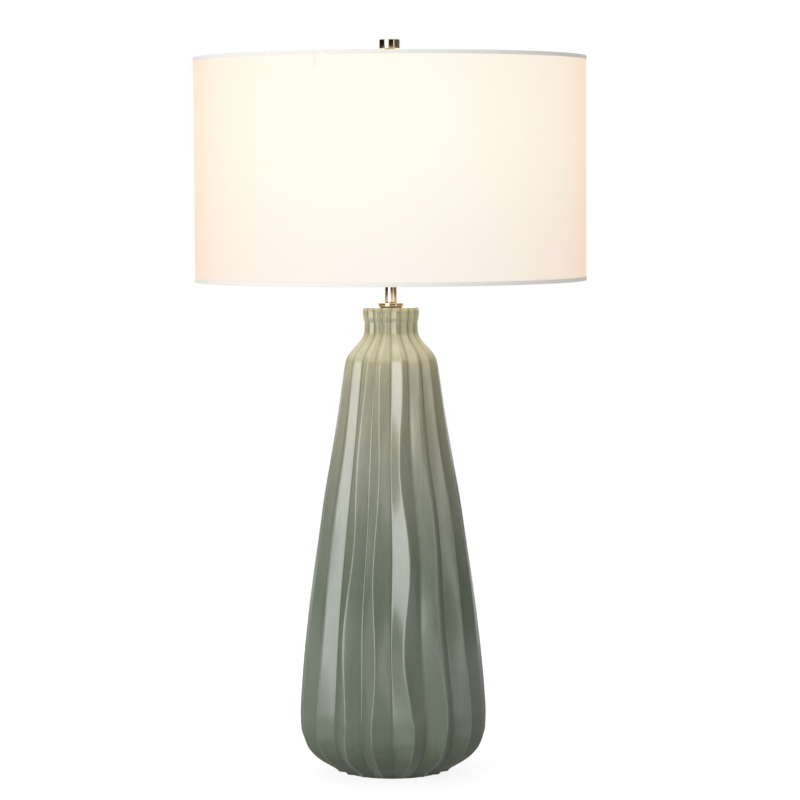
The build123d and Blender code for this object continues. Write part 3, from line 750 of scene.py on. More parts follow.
@dataclass(frozen=True)
class Metal(Finish):
    """A bare or plated metal with its grain, its stains and its fine scratches."""

    colour: Colour = (0.66, 0.565, 0.44)
    stain: Colour = (0.46, 0.37, 0.26)
    rough: float = 0.11
    grain: Grain = Grain.TURNED
    depth: float = 0.000004

    def paint(self, nodes: Nodes, shader: bpy.types.Node) -> None:
        """Lays grain, stains and scratches over the metal's colour."""
        place = nodes.place()
        x, y, z = nodes.parts(place)
        if self.grain is Grain.TURNED:
            distance = nodes.reach(x, y)
            along = nodes.combined(distance * 0.25, 0.0, z)
            lines = nodes.noise(along, 9000.0, 2.0)
        elif self.grain is Grain.DRAWN:
            lines = nodes.noise(nodes.combined(x, y, z * 0.02), 5200.0, 2.0)
        else:
            lines = nodes.noise(place, 1700.0, 3.0)
        clouds = nodes.noise(place, 60.0, 4.0, 0.6)
        scratch = nodes.noise(nodes.combined(x + z * 0.7, y, z * 0.06), 1500.0, 1.0)
        marks = 1.0 - abs(scratch - 0.5).eased(0.0, 0.012)
        soiled = clouds.eased(0.5, 0.85)
        body = nodes.blended(soiled * 0.35, self.colour, self.stain)
        nodes.fill(shader, {
            "Base Color": nodes.scaled(body, 0.94 + lines * 0.10),
            "Metallic": 1.0,
            "Roughness": self.rough + soiled * 0.10 + marks * 0.08 + lines * 0.05,
            "Normal": nodes.bump(lines + marks * 0.6 + clouds * 0.5, self.depth),
        })


@dataclass(frozen=True)
class Moulded(Finish):
    """Moulded plastic, rubber or paint: a body colour with a fine skin and dust."""

    colour: Colour = (0.05, 0.035, 0.03)
    fleck: Colour = (0.09, 0.06, 0.05)
    rough: float = 0.35
    skin: float = 600.0
    depth: float = 0.00002
    clear: float = 0.0
    glow: Colour = (0.0, 0.0, 0.0)

    def paint(self, nodes: Nodes, shader: bpy.types.Node) -> None:
        """Lays flow marks, flecks and an orange-peel skin over the colour."""
        place = nodes.place()
        peel = nodes.noise(place, self.skin, 2.0)
        flow = nodes.noise(place, 45.0, 3.0, 0.6)
        dust = nodes.noise(place, 2600.0, 1.0).eased(0.60, 0.75)
        body = nodes.blended(flow.eased(0.35, 0.8), self.colour, self.fleck)
        body = nodes.blended(dust * 0.12, body, (0.62, 0.60, 0.56))
        nodes.fill(shader, {
            "Base Color": body,
            "Roughness": self.rough + flow * 0.08 + dust * 0.15,
            "Normal": nodes.bump(peel + dust * 0.3, self.depth),
            "Transmission Weight": self.clear,
            "Emission Color": opaque(self.glow),
            "Emission Strength": float(any(self.glow)),
        })


@dataclass(frozen=True)
class Felt(Finish):
    """Pressed wool felt with stray fibres."""

    colour: Colour = (0.045, 0.048, 0.044)
    fibre: Colour = (0.14, 0.14, 0.13)

    def paint(self, nodes: Nodes, shader: bpy.types.Node) -> None:
        """Lays crossed fibres of two tones."""
        place = nodes.place()
        x, y, z = nodes.parts(place)
        across = nodes.noise(nodes.combined(x + y * 0.5, y * 0.12, z), 2400.0, 3.0, 0.7)
        askew = nodes.noise(nodes.combined(x * 0.12, y + x * 0.4, z), 2200.0, 3.0, 0.7)
        nap = nodes.noise(place, 900.0, 4.0, 0.7)
        fibres = across.most(askew)
        body = nodes.blended(fibres.eased(0.52, 0.75), self.colour, self.fibre)
        nodes.fill(shader, {
            "Base Color": nodes.scaled(body, 0.8 + nap * 0.4),
            "Roughness": 0.95,
            "Sheen Weight": 0.4,
            "Sheen Roughness": 0.5,
            "Normal": nodes.bump(fibres * 0.6 + nap * 0.6, 0.00035),
        })


@dataclass(frozen=True)
class Linen(Finish):
    """Plain-woven cloth on a translucent backing, lit from inside by the bulb."""

    colour: Colour = (0.16, 0.175, 0.19)
    glow: Colour = (0.838, 0.848, 0.820)
    hot: Colour = (0.903, 0.938, 0.880)
    glow_edge_tint: Colour = (1.0, 0.91, 0.845)
    thread: float = 0.00052
    radius: float = 0.2282
    bulb_height: float = 0.765
    seam_azimuth: float = math.radians(90.0)
    seam_half: float = 0.0055
    # where the painted shadows of the spider's arms fall on the cloth, and how wide and low
    # they reach
    arm_azimuths: Sequence[float] = (-111.0, 9.0, 129.0)
    arm_shadow_half: float = 0.0010
    arm_shadow_low: float = 0.817

    def paint(self, nodes: Nodes, shader: bpy.types.Node) -> None:
        """Weaves the threads and lets the bulb shine through them."""
        place = nodes.place()
        x, y, z = nodes.parts(place)
        around = nodes.math("ARCTAN2", y, x) * self.radius
        slub_up = nodes.noise(nodes.combined(around, z * 0.03, 0.0), 420.0, 3.0, 0.6)
        slub_over = nodes.noise(nodes.combined(around * 0.03, z, 3.0), 420.0, 3.0, 0.6)
        turn = 2 * math.pi / self.thread
        up = (around * turn + (slub_up - 0.5) * 3.0).sine()
        over = (z * turn + (slub_over - 0.5) * 3.0).sine()
        over_under = (around * turn * 0.5).sine() * (z * turn * 0.5).sine()
        weave = 0.5 + (up + over) * 0.15 + over_under * 0.2
        slubs = slub_up * 0.5 + slub_over * 0.5
        body = nodes.scaled(self.colour, 0.90 + weave * 0.06 + slubs * 0.12)
        # Painted light: the emission stands in for the bulb's light through the cloth,
        # strongest near the bulb's height, with painted shade behind the hem tapes (rim)
        # and at the lapped seam
        rise = abs(z - self.bulb_height)
        near = 1.0 - rise.eased(0.01, 0.20)
        seam = 1.0 - abs(around - self.seam_azimuth * self.radius).eased(
            self.seam_half, self.seam_half + 0.0006
        )
        shine = nodes.blended(near, self.glow, self.hot)
        rim = z.eased(0.5785, 0.5840) * (1.0 - z.eased(0.8330, 0.8375))
        # Painted shadows of the spider's three arms on the glow, below the top rim
        arm_shadow = 0.0
        for azimuth in self.arm_azimuths:
            off = abs(around - math.radians(azimuth) * self.radius)
            arm_shadow = arm_shadow + (1.0 - off.eased(self.arm_shadow_half, self.arm_shadow_half * 2.4))
        arm_shadow = arm_shadow * z.eased(self.arm_shadow_low, self.arm_shadow_low + 0.006)
        strength = (
            (0.985 + (slubs - 0.5) * 0.05 + (weave - 0.5) * 0.02)
            * (1.0 - seam * 0.13)
            * (1.0 - arm_shadow * 0.07)
            * (0.35 + rim * 0.65)
        )
        nodes.fill(shader, {
            "Base Color": body,
            "Roughness": 0.88,
            "Sheen Weight": 0.08,
            "Emission Color": nodes.scaled(shine, strength),
            "Emission Strength": 1.0,
            # A tinted coat that dims and warms the painted glow towards the edges as seen:
            # painted shade, no real lacquer
            "Coat Weight": 1.0,
            "Coat Roughness": 0.9,
            "Coat IOR": 1.06,
            "Coat Tint": opaque(self.glow_edge_tint),
            "Normal": nodes.bump(weave * 0.7 + slubs * 0.5, 0.00012),
        })


@dataclass(frozen=True)
class Backing(Finish):
    """The stiff, smooth inner face of the shade, bright beside the bulb."""

    colour: Colour = (0.70, 0.68, 0.64)
    glow: Colour = (0.62, 0.53, 0.40)
    bulb_height: float = 0.72

    def paint(self, nodes: Nodes, shader: bpy.types.Node) -> None:
        """Lays a faint sheet texture and the bulb's light on the backing."""
        place = nodes.place()
        _, _, z = nodes.parts(place)
        grain = nodes.noise(place, 700.0, 3.0)
        clouds = nodes.noise(place, 22.0, 2.0)
        near = 1.0 - abs(z - self.bulb_height).eased(0.0, 0.19)
        nodes.fill(shader, {
            "Base Color": nodes.scaled(
                self.colour, 0.93 + grain * 0.06 + clouds * 0.06
            ),
            "Emission Color": nodes.scaled(self.glow, 0.8 + near * 0.5),
            "Emission Strength": 1.0,
            "Roughness": 0.55,
            "Normal": nodes.bump(grain, 0.00003),
        })


@dataclass(frozen=True)
class Tape(Finish):
    """Folded fabric tape around a rim of the shade, too thick to glow brightly."""

    colour: Colour = (0.80, 0.79, 0.77)
    glow: Colour = (0.22, 0.205, 0.190)
    thread: float = 0.00045
    radius: float = 0.2286

    def paint(self, nodes: Nodes, shader: bpy.types.Node) -> None:
        """Weaves the tape's close threads."""
        place = nodes.place()
        x, y, z = nodes.parts(place)
        around = nodes.math("ARCTAN2", y, x) * self.radius
        turn = 2 * math.pi / self.thread
        ribs = (around * turn).sine() * 0.25 + (z * turn).sine() * 0.25 + 0.5
        slub = nodes.noise(nodes.combined(around, z * 4.0, 0.0), 260.0, 3.0, 0.6)
        nodes.fill(shader, {
            "Base Color": nodes.scaled(self.colour, 0.84 + ribs * 0.10 + slub * 0.18),
            "Roughness": 0.9,
            "Sheen Weight": 0.1,
            "Emission Color": opaque(self.glow),
            "Emission Strength": 1.0,
            "Normal": nodes.bump(ribs + slub, 0.00010),
        })


@dataclass(frozen=True)
class Opal(Finish):
    """Opal cover of the bulb, lit from inside, brightest over its board."""

    colour: Colour = (0.34, 0.33, 0.30)
    glow: Colour = (0.80, 0.72, 0.59)
    edge: Colour = (0.76, 0.63, 0.45)
    skin: Colour = (0.99, 0.93, 0.84)
    low: float = 0.6943
    high: float = 0.7483

    def paint(self, nodes: Nodes, shader: bpy.types.Node) -> None:
        """Shades the light from the middle of the cover to its waist."""
        place = nodes.place()
        _, _, z = nodes.parts(place)
        clouds = nodes.noise(place, 90.0, 2.0)
        rise = z.eased(self.low - 0.004, self.low + (self.high - self.low) * 0.5)
        shine = nodes.blended(rise, self.edge, self.glow)
        nodes.fill(shader, {
            "Emission Color": nodes.scaled(
                shine, (0.70 + rise * 0.30) * (0.97 + clouds * 0.06)
            ),
            "Emission Strength": 1.0,
            "Base Color": nodes.scaled(self.colour, 0.96 + clouds * 0.05),
            "Coat Weight": 1.0,
            "Coat Roughness": 0.6,
            "Coat IOR": 1.06,
            "Coat Tint": opaque(self.skin),
            "Roughness": 0.28 + clouds * 0.10,
            "Normal": nodes.bump(nodes.noise(place, 500.0, 2.0), 0.00001),
        })


@dataclass(frozen=True)
class Laminate(Finish):
    """Pressed paper board or a circuit board's face, with its fibres."""

    colour: Colour = (0.32, 0.20, 0.10)
    fibre: Colour = (0.46, 0.32, 0.18)
    rough: float = 0.75

    def paint(self, nodes: Nodes, shader: bpy.types.Node) -> None:
        """Lays short fibres in the board."""
        place = nodes.place()
        x, y, z = nodes.parts(place)
        fibres = nodes.noise(nodes.combined(x, y, z * 0.15), 1600.0, 3.0, 0.65)
        clouds = nodes.noise(place, 80.0, 2.0)
        body = nodes.blended(fibres.eased(0.4, 0.7), self.colour, self.fibre)
        nodes.fill(shader, {
            "Base Color": nodes.scaled(body, 0.9 + clouds * 0.2),
            "Roughness": self.rough + clouds * 0.1,
            "Normal": nodes.bump(fibres, 0.00004),
        })


GLAZE = Glaze("celadon_glaze", "celadon glaze")
FELT = Felt("felt", "pressed felt")
NICKEL = Metal("polished_nickel", "polished nickel")
NICKEL_DRAWN = Metal(
    "polished_nickel", "drawn nickel", rough=0.16, grain=Grain.DRAWN
)
# Copy of polished nickel tinted warm: a painted reflection of the shade's warm light and
# the cream body, used on the neck ring and sleeve
NICKEL_PAINTED_WARM = Metal(
    "polished_nickel",
    "nickel with painted warm reflection",
    colour=(0.72, 0.56, 0.375),
    stain=(0.44, 0.31, 0.17),
    rough=0.10,
    grain=Grain.DRAWN,
)
ZINC = Metal(
    "zinc_steel",
    "zinc-plated steel",
    colour=(0.52, 0.53, 0.54),
    stain=(0.34, 0.33, 0.30),
    rough=0.30,
    grain=Grain.CAST,
    depth=0.000012,
)
BRASS = Metal(
    "brass_fittings",
    "stamped brass",
    colour=(0.62, 0.44, 0.18),
    stain=(0.34, 0.22, 0.09),
    rough=0.26,
    grain=Grain.CAST,
    depth=0.000010,
)
ALUMINIUM = Metal(
    "bare_aluminium",
    "rolled aluminium",
    colour=(0.66, 0.66, 0.66),
    stain=(0.46, 0.45, 0.43),
    rough=0.28,
)
CAP_METAL = Metal(
    "bulb_cap_metal",
    "nickel-plated bulb cap",
    colour=(0.64, 0.63, 0.60),
    stain=(0.45, 0.42, 0.36),
    rough=0.22,
)
RUBBER = Moulded(
    "gasket_rubber",
    "soft gasket",
    colour=(0.20, 0.185, 0.15),
    fleck=(0.24, 0.22, 0.18),
    rough=0.6,
    depth=0.00004,
)
PHENOLIC = Moulded("dark_phenolic", "dark phenolic", rough=0.28)
GREY_PLASTIC = Moulded(
    "clear_grey_plastic",
    "clear grey plastic",
    colour=(0.42, 0.43, 0.43),
    fleck=(0.50, 0.51, 0.51),
    rough=0.22,
    clear=0.45,
)
WHITE_PLASTIC = Moulded(
    "white_plastic",
    "white plastic",
    colour=(0.76, 0.75, 0.72),
    fleck=(0.70, 0.69, 0.66),
    rough=0.32,
)
WHITE_PAINT = Moulded(
    "white_wire",
    "white-painted wire",
    colour=(0.72, 0.71, 0.68),
    fleck=(0.66, 0.65, 0.61),
    rough=0.30,
    depth=0.00003,
)
LINER = Laminate("liner_board", "liner board")
CHIP_BOARD = Laminate(
    "led_board",
    "white circuit board",
    colour=(0.72, 0.72, 0.70),
    fibre=(0.78, 0.78, 0.76),
    rough=0.45,
)
CHIP = Moulded(
    "led_board",
    "yellow chip cover",
    colour=(0.85, 0.62, 0.16),
    fleck=(0.80, 0.56, 0.14),
    rough=0.35,
    glow=(1.0, 0.78, 0.45),
)
LINEN = Linen("shade_fabric", "woven shade cloth")
BACKING = Backing("shade_fabric", "shade backing")
TAPE = Tape("hem_fabric", "hem tape")
OPAL = Opal("lit_opal", "lit opal cover")


# ----------------------------------------------------------------- ceramic body


@dataclass
class CeramicBody:
    """The fluted, glazed body with its foot, cord hole and felt.

    Seventeen ridges lean and sway, each on its own, over a turned outline. The
    sizes are millimetres and degrees, as in the solids' source.
    """

    outline: Sequence[Point] = (
        (2, 66.5), (5, 69.5), (9, 76.0), (15, 86.0), (23, 96.0), (34, 104.5),
        (50, 109.5), (68, 110.0), (95, 108.5), (135, 105.5), (180, 101.0),
        (230, 94.3), (280, 86.6), (325, 80.0), (375, 71.4), (425, 63.2),
        (465, 57.2), (484, 53.9), (492, 50.2), (498, 45.4), (505, 38.9),
        (512, 33.9), (519, 31.6), (528, 31.4), (536, 32.9), (542, 33.3),
        (545, 32.7), (547, 31.3),
    )
    ridges: Sequence[tuple[float, float, float]] = (
        (-0.3, 3.0, 16), (1.0, 2.5, -36), (1.5, 1.8, -40), (0.8, 1.6, 20),
        (0.0, 2.2, 110), (-1.0, 1.8, 200), (0.5, 2.6, 250), (1.0, 2.0, -60),
        (0.0, 2.4, 30), (-1.0, 1.6, 90), (0.5, 2.8, 150), (1.0, 2.0, 230),
        (0.0, 1.6, -80), (-0.5, 1.8, 60), (0.0, 1.5, 177), (-0.6, 1.9, -19),
        (-2.0, 1.4, 220),
    )
    valley: float = 0.90
    wall: float = 5.5
    sway_length: float = 215.0
    sway_fade: float = 60.0
    recess: float = 52.0
    recess_top: float = 16.0
    floor_top: float = 24.0
    cavity_top: float = 538.0
    cavity_heights: Sequence[float] = (
        528, 518, 505, 492, 478, 425, 325, 230, 135, 68, 40, 24,
    )
    rod_hole: float = 6.0
    crest_round: float = 1.0
    valley_round: float = 1.5
    bulge: float = 0.017  # rise of a facet's middle, as a share of its width
    columns_per_corner: int = 10
    rounded: float = 0.3  # share of a corner's columns that its rounding takes
    facet: float = 0.2018  # width of a facet, as a share of the radius
    trim: float = 0.35  # most of a facet that a rounding may take
    crest_mark: float = 2.0
    hollow_mark: float = 2.2
    wobble: float = 0.28
    wobble_scale: float = 38.0
    wobble_level: float = 0.62  # noise at which the wobble moves nothing
    wobble_stretch: float = 0.35
    cord_turn: float = 8 * 360 / 17
    cord_height: float = 9.0
    cord_hole: float = 4.6
    cord_seat: float = 6.4
    cord_seat_from: float = 68.5
    felt_radius: float = 57.0
    felt: float = 2.0

    def radius(self, height: float) -> float:
        """Radius on the ridges at a height, on a smooth curve without overshoot."""
        index = 0
        while index < len(self.outline) - 2 and height > self.outline[index + 1][0]:
            index += 1
        (low, low_radius), (high, high_radius) = self.outline[index : index + 2]
        span = high - low
        t = (height - low) / span
        return (
            low_radius * (1 + 2 * t) * (1 - t) ** 2
            + high_radius * t**2 * (3 - 2 * t)
            + self.slope(index) * span * t * (1 - t) ** 2
            - self.slope(index + 1) * span * t**2 * (1 - t)
        )

    def slope(self, index: int) -> float:
        """Slope of the outline at one of its points."""
        last = len(self.outline) - 1
        if index in (0, last):
            first = min(index, last - 1)
            (low, low_radius), (high, high_radius) = self.outline[first : first + 2]
            return (high_radius - low_radius) / (high - low)
        before, here, after = self.outline[index - 1 : index + 2]
        below = (here[1] - before[1]) / (here[0] - before[0])
        above = (after[1] - here[1]) / (after[0] - here[0])
        return 0.0 if below * above <= 0 else 2 * below * above / (below + above)

    def profile(self) -> bpy.types.Mesh:
        """The turned outline as a row of points.

        Returns:
            A mesh with one vertex for each row of the body, from the foot's inner
            edge up the outside and back down the cavity: radius, share of
            fluting and height.
        """
        rows = [(self.recess + 0.6, 0.0, 2.0), (self.recess + 6, 0.1, 2.0)]
        rows += [(self.radius(2) - 1.5, 1.0, 2.0)]
        for (low, _), (high, _) in zip(self.outline, self.outline[1:]):
            reach = math.dist((low, self.radius(low)), (high, self.radius(high)))
            steps = max(2, round(reach / (5.0 if 60 < low < 460 else 1.8)))
            for step in range(steps):
                height = low + (high - low) * step / steps
                rows.append((self.radius(height), 1.0, height))
        top = self.outline[-1][0]
        rows += [(self.radius(top), 1.0, top), (self.radius(top) - 1.2, 1.0, top)]
        rows += [(20.0, 0.3, top), (14.0, 0.0, top)]
        rows += [(self.rod_hole + 0.5, 0.0, top), (self.rod_hole, 0.0, top - 0.5)]
        rows += [(self.rod_hole, 0.0, self.cavity_top)]
        rows += [
            (self.radius(height) * self.valley - self.wall, 0.0, height)
            for height in (self.cavity_top, *self.cavity_heights)
        ]
        rows += [(self.rod_hole, 0.0, self.floor_top)]
        rows += [(self.rod_hole, 0.0, self.recess_top)]
        rows += [(self.recess, 0.0, self.recess_top), (self.recess, 0.0, 2.6)]
        rows += [rows[0]]
        mesh = bpy.data.meshes.new("body profile")
        mesh.from_pydata([(r * MM, share, z * MM) for r, share, z in rows], [], [])
        return mesh

    def corner(self, recipe: Recipe, number: Term, height: Term, radius: Term,
               share: Term) -> Term:
        """One corner of the body's star-shaped section.

        Args:
            recipe: the tree.
            number: the corner's number; valleys are even and ridges odd.
            height: height in metres.
            radius: radius on the ridges.
            share: 1 where the body is fluted and 0 where it is round.

        Returns:
            The corner's place in the section.
        """
        nodes = recipe.nodes
        ridge = (number * 0.5 + 0.1).floor()
        is_ridge = number - ridge * 2.0
        here = self.shift(recipe, ridge, height)
        before = self.shift(recipe, ridge - 1.0, height)
        pitch = 2 * math.pi / recipe["Ridges"]
        turn = (
            (ridge + is_ridge * 0.5) * pitch
            + is_ridge * here
            + (1.0 - is_ridge) * (here + before) * 0.25
        )
        depth = (1.0 - is_ridge) * (1.0 - recipe["Valley"]) * share
        reach = radius * (1.0 - depth)
        return nodes.combined(reach * turn.sine(), -(reach * turn.cosine()), 0.0)

    def shift(self, recipe: Recipe, ridge: Term, height: Term) -> Term:
        """Angle in radians by which a ridge stands off its even place.

        Args:
            recipe: the tree.
            ridge: the ridge's number.
            height: height in metres.

        Returns:
            The angle.
        """
        nodes = recipe.nodes
        count = len(self.ridges)
        index = (ridge % float(count)) + 0.25
        table = {0: index} | {
            place + 1: tuple(math.radians(part) for part in ridge_row)
            for place, ridge_row in enumerate(self.ridges)
        }
        row = nodes.add(
            "GeometryNodeIndexSwitch", {"data_type": "VECTOR", "cases": count}, table
        )
        lean, sway, phase = nodes.parts(row)
        fade = (
            ((height - recipe["Bottom"]) / recipe["Sway fade"])
            .least((recipe["Top"] - height) / recipe["Sway fade"])
            .within()
        )
        wave = (height * (2 * math.pi) / recipe["Sway length"] + phase).sine()
        return fade * (lean + sway * wave)

    def recipe(self) -> Recipe:
        """Builds the tree that wraps the profile into the fluted body.

        Returns:
            The tree.
        """
        recipe = Recipe(
            "fluted body",
            {
                "Ridges": len(self.ridges),
                "Columns": self.columns_per_corner,
                "Valley": self.valley,
                "Crest round": self.crest_round * MM,
                "Valley round": self.valley_round * MM,
                "Bulge": self.bulge,
                "Sway length": self.sway_length * MM,
                "Sway fade": self.sway_fade * MM,
                "Bottom": self.outline[0][0] * MM,
                "Top": self.outline[-1][0] * MM,
                "Wobble": self.wobble * MM,
            },
        )
        nodes = recipe.nodes
        profile = recipe["Geometry"]
        rows = nodes.add(
            "GeometryNodeAttributeDomainSize",
            {"component": "MESH"},
            {"Geometry": profile},
            "Point Count",
        )
        columns = recipe["Ridges"] * 2.0 * recipe["Columns"]
        grid, column, row = recipe.grid(columns, rows)
        spot = nodes.add("GeometryNodeInputPosition")
        sampled = nodes.add(
            "GeometryNodeSampleIndex",
            {"data_type": "FLOAT_VECTOR", "domain": "POINT"},
            {"Geometry": profile, "Value": spot, "Index": row + 0.25},
        )
        radius, share, height = nodes.parts(sampled)

        number = (column / recipe["Columns"] + 0.01).floor()
        part = (column - number * recipe["Columns"]) / recipe["Columns"] * 2.0 - 1.0
        size = abs(part)
        bent = (size * 0.6).most(size * 1.4 - 0.4)
        side = nodes.math("SIGN", part)
        offset = side * bent
        rounded = self.rounded
        is_ridge = number - (number * 0.5 + 0.1).floor() * 2.0
        facet = radius * self.facet
        easing = recipe["Valley round"] + is_ridge * (
            recipe["Crest round"] - recipe["Valley round"]
        )
        trim = (easing / facet.most(0.001)).least(self.trim)
        t = ((offset / rounded + 1.0) * 0.5).within()
        back = ((-offset - rounded) / (1.0 - rounded)).most(0.0)
        ahead = ((offset - rounded) / (1.0 - rounded)).most(0.0)
        toward_before = trim * (1.0 - t) * (1.0 - t) + (0.5 - trim) * back
        toward_after = trim * t * t + (0.5 - trim) * ahead

        here = self.corner(recipe, number, height, radius, share)
        before = self.corner(recipe, number - 1.0, height, radius, share)
        after = self.corner(recipe, number + 1.0, height, radius, share)
        to_before = nodes.scaled(nodes.vector("SUBTRACT", before, here), toward_before)
        to_after = nodes.scaled(nodes.vector("SUBTRACT", after, here), toward_after)
        flat = nodes.vector("ADD", here, nodes.vector("ADD", to_before, to_after))
        outward = nodes.add(
            "ShaderNodeVectorMath", {"operation": "NORMALIZE"}, {0: flat}
        )
        away = toward_before.most(toward_after)
        rise = away * (1.0 - away) * 4.0 * recipe["Bulge"] * facet
        flat = nodes.vector("ADD", flat, nodes.scaled(outward, rise))
        ring = nodes.scaled(outward, radius)
        section = nodes.add(
            "ShaderNodeMix",
            {"data_type": "VECTOR"},
            {0: share, 4: ring, 5: flat},
            1,
        )
        placed = nodes.vector("ADD", section, nodes.combined(0.0, 0.0, height))
        drawn = nodes.vector("MULTIPLY", placed, (1.0, 1.0, self.wobble_stretch))
        noise = nodes.noise(drawn, self.wobble_scale, 2.0)
        placed = nodes.vector(
            "ADD",
            placed,
            nodes.scaled(
                outward, (noise - self.wobble_level) * recipe["Wobble"] * share
            ),
        )

        away = away * facet
        crest = (1.0 - away / (self.crest_mark * MM)).within() * is_ridge * share
        hollow = (1.0 - away / (self.hollow_mark * MM)).within() * (1.0 - is_ridge) * share
        marked = grid
        for name, mark in (("crest", crest), ("hollow", hollow)):
            marked = nodes.add(
                "GeometryNodeStoreNamedAttribute",
                {"data_type": "FLOAT", "domain": "POINT"},
                {"Geometry": marked, "Name": name, "Value": mark},
            )
        recipe.wrap(marked, placed)
        return recipe

    def cord_axis(self) -> Matrix:
        """Frame whose Z axis points out of the cord hole, from the lamp's axis."""
        turn = math.radians(self.cord_turn)
        out = Vector((math.sin(turn), -math.cos(turn), 0.0))
        across = Vector((0, 0, 1)).cross(out)
        frame_at = Matrix((across, (0, 0, 1), out)).transposed().to_4x4()
        return Matrix.Translation((0, 0, self.cord_height * MM)) @ frame_at

    def drill(self, piece: bpy.types.Object) -> None:
        """Cuts the cord hole and the flat seat of its bush through the foot.

        Args:
            piece: the fluted body.
        """
        hole = eased_outline(
            [(0, 47, 0), (self.cord_hole, 47, 0), (self.cord_hole, 75, 0), (0, 75, 0)]
        )
        seat = eased_outline(
            [
                (0, self.cord_seat_from, 0),
                (self.cord_seat, self.cord_seat_from, 0),
                (self.cord_seat + 1.5, self.cord_seat_from + 12, 0),
                (0, self.cord_seat_from + 12, 0),
            ]
        )
        for number, outline in enumerate((hole, seat)):
            tool = turned(
                f"drill_{number}", outline, GLAZE.material(), 48, self.cord_axis()
            )
            cut = piece.modifiers.new("drill", "BOOLEAN")
            cut.operation = "DIFFERENCE"
            cut.solver = "EXACT"
            cut.object = tool
            apply_modifiers(piece)
            bpy.data.objects.remove(tool)
        shade_smooth(piece.data)

    def build(self) -> None:
        """Makes the body, its felt and its bush."""
        piece = self.recipe().run("fluted_body", self.profile(), GLAZE.material())
        self.drill(piece)
        settle(piece, "base", GLAZE, "ceramic_body")
        self.build_felt()
        self.build_bush()

    def build_felt(self) -> None:
        """Makes the felt pad with its cut, slightly fuzzy edge."""
        corners = [
            (0, 0.02, 0), (54, 0.02, 0), (self.felt_radius, 0.1, 0.5),
            (self.felt_radius, self.felt, 0.35), (30, self.felt, 0), (0, self.felt, 0),
        ]
        piece = turned("felt_disc", eased_outline(corners), FELT.material(), 180)
        for vertex in piece.data.vertices:
            reach = math.hypot(vertex.co.x, vertex.co.y)
            if reach > 0.05:
                turn = math.atan2(vertex.co.y, vertex.co.x)
                frayed = 0.12 * math.sin(41 * turn) + 0.10 * math.sin(67 * turn + 1)
                vertex.co.x *= 1 - (0.25 + frayed) * MM / reach
                vertex.co.y *= 1 - (0.25 + frayed) * MM / reach
        settle(piece, "base", FELT, "felt_pad")

    def build_bush(self) -> None:
        """Makes the flanged bush that lines the cord hole."""
        corners = [
            (3.25, 49.6, 0.6), (6.0, 49.6, 0.6), (6.0, 51.6, 0.3), (4.5, 51.6, 0),
            (4.5, 68.5, 0), (6.0, 68.5, 0.3), (6.0, 70.5, 0.8), (3.25, 70.5, 1.0),
        ]
        piece = turned(
            "entry_bush",
            eased_outline(corners),
            GREY_PLASTIC.material(),
            64,
            self.cord_axis(),
        )
        settle(piece, "base", GREY_PLASTIC, "cord_bush")


# --------------------------------------------------------------- threaded pieces


@dataclass
class Thread:
    """A screw thread with a plain wall on its other side, wound by a rule.

    Sizes are millimetres. A bore larger than the crest turns it inside out.
    """

    crest: float
    root: float
    pitch: float
    bottom: float
    top: float
    bore: float
    sides: int = 48
    rows_per_turn: int = 4
    rolled: bool = False

    def recipe(self) -> Recipe:
        """Builds the tree that winds the thread.

        Returns:
            The tree.
        """
        turns = math.ceil((self.top - self.bottom) / self.pitch) + 2
        recipe = Recipe(
            "thread",
            {
                "Crest": self.crest * MM,
                "Root": self.root * MM,
                "Bore": self.bore * MM,
                "Pitch": self.pitch * MM,
                "Bottom": self.bottom * MM,
                "Top": self.top * MM,
                "Sides": self.sides,
                "Rows": turns * self.rows_per_turn + 4,
                "Rows per turn": self.rows_per_turn,
            },
        )
        nodes = recipe.nodes
        sides, rows = recipe["Sides"], recipe["Rows"]
        grid, column, row = recipe.grid(sides, rows)
        step = row - 1.0
        climb = (step / recipe["Rows per turn"] + column / sides - 1.0) * recipe["Pitch"]
        height = climb + recipe["Bottom"]
        wave = (step / recipe["Rows per turn"]) % 1.0
        if self.rolled:
            dip = 0.5 - (wave * (2 * math.pi)).cosine() * 0.5
        else:
            dip = 1.0 - abs(wave * 2.0 - 1.0)
        low_end = ((height - recipe["Bottom"]) / recipe["Pitch"]).within()
        high_end = ((recipe["Top"] - height) / recipe["Pitch"]).within()
        proud = (1.0 - dip) * low_end.least(high_end)
        radius = recipe["Root"] + (recipe["Crest"] - recipe["Root"]) * proud
        past = row - (rows - 2.5)
        is_wall = (0.5 - row).most(past).eased(*STEP)
        is_top = past.eased(*STEP) * ((rows - 1.5) - row).eased(*STEP)
        radius = radius + (recipe["Bore"] - radius) * is_wall
        level = height.most(recipe["Bottom"]).least(recipe["Top"])
        end = recipe["Bottom"] + (recipe["Top"] - recipe["Bottom"]) * is_top
        level = level + (end - level) * is_wall
        turn = column * (2 * math.pi) / sides
        placed = nodes.combined(radius * turn.cosine(), radius * turn.sine(), level)
        recipe.wrap(grid, placed)
        return recipe

    def cut(self, name: str, finish: Finish) -> bpy.types.Object:
        """Makes the threaded piece.

        Args:
            name: name of the piece.
            finish: its finish.

        Returns:
            The piece.
        """
        start = bpy.data.meshes.new(name)
        return self.recipe().run(name, start, finish.material())


# ----------------------------------------------------------------- central stack


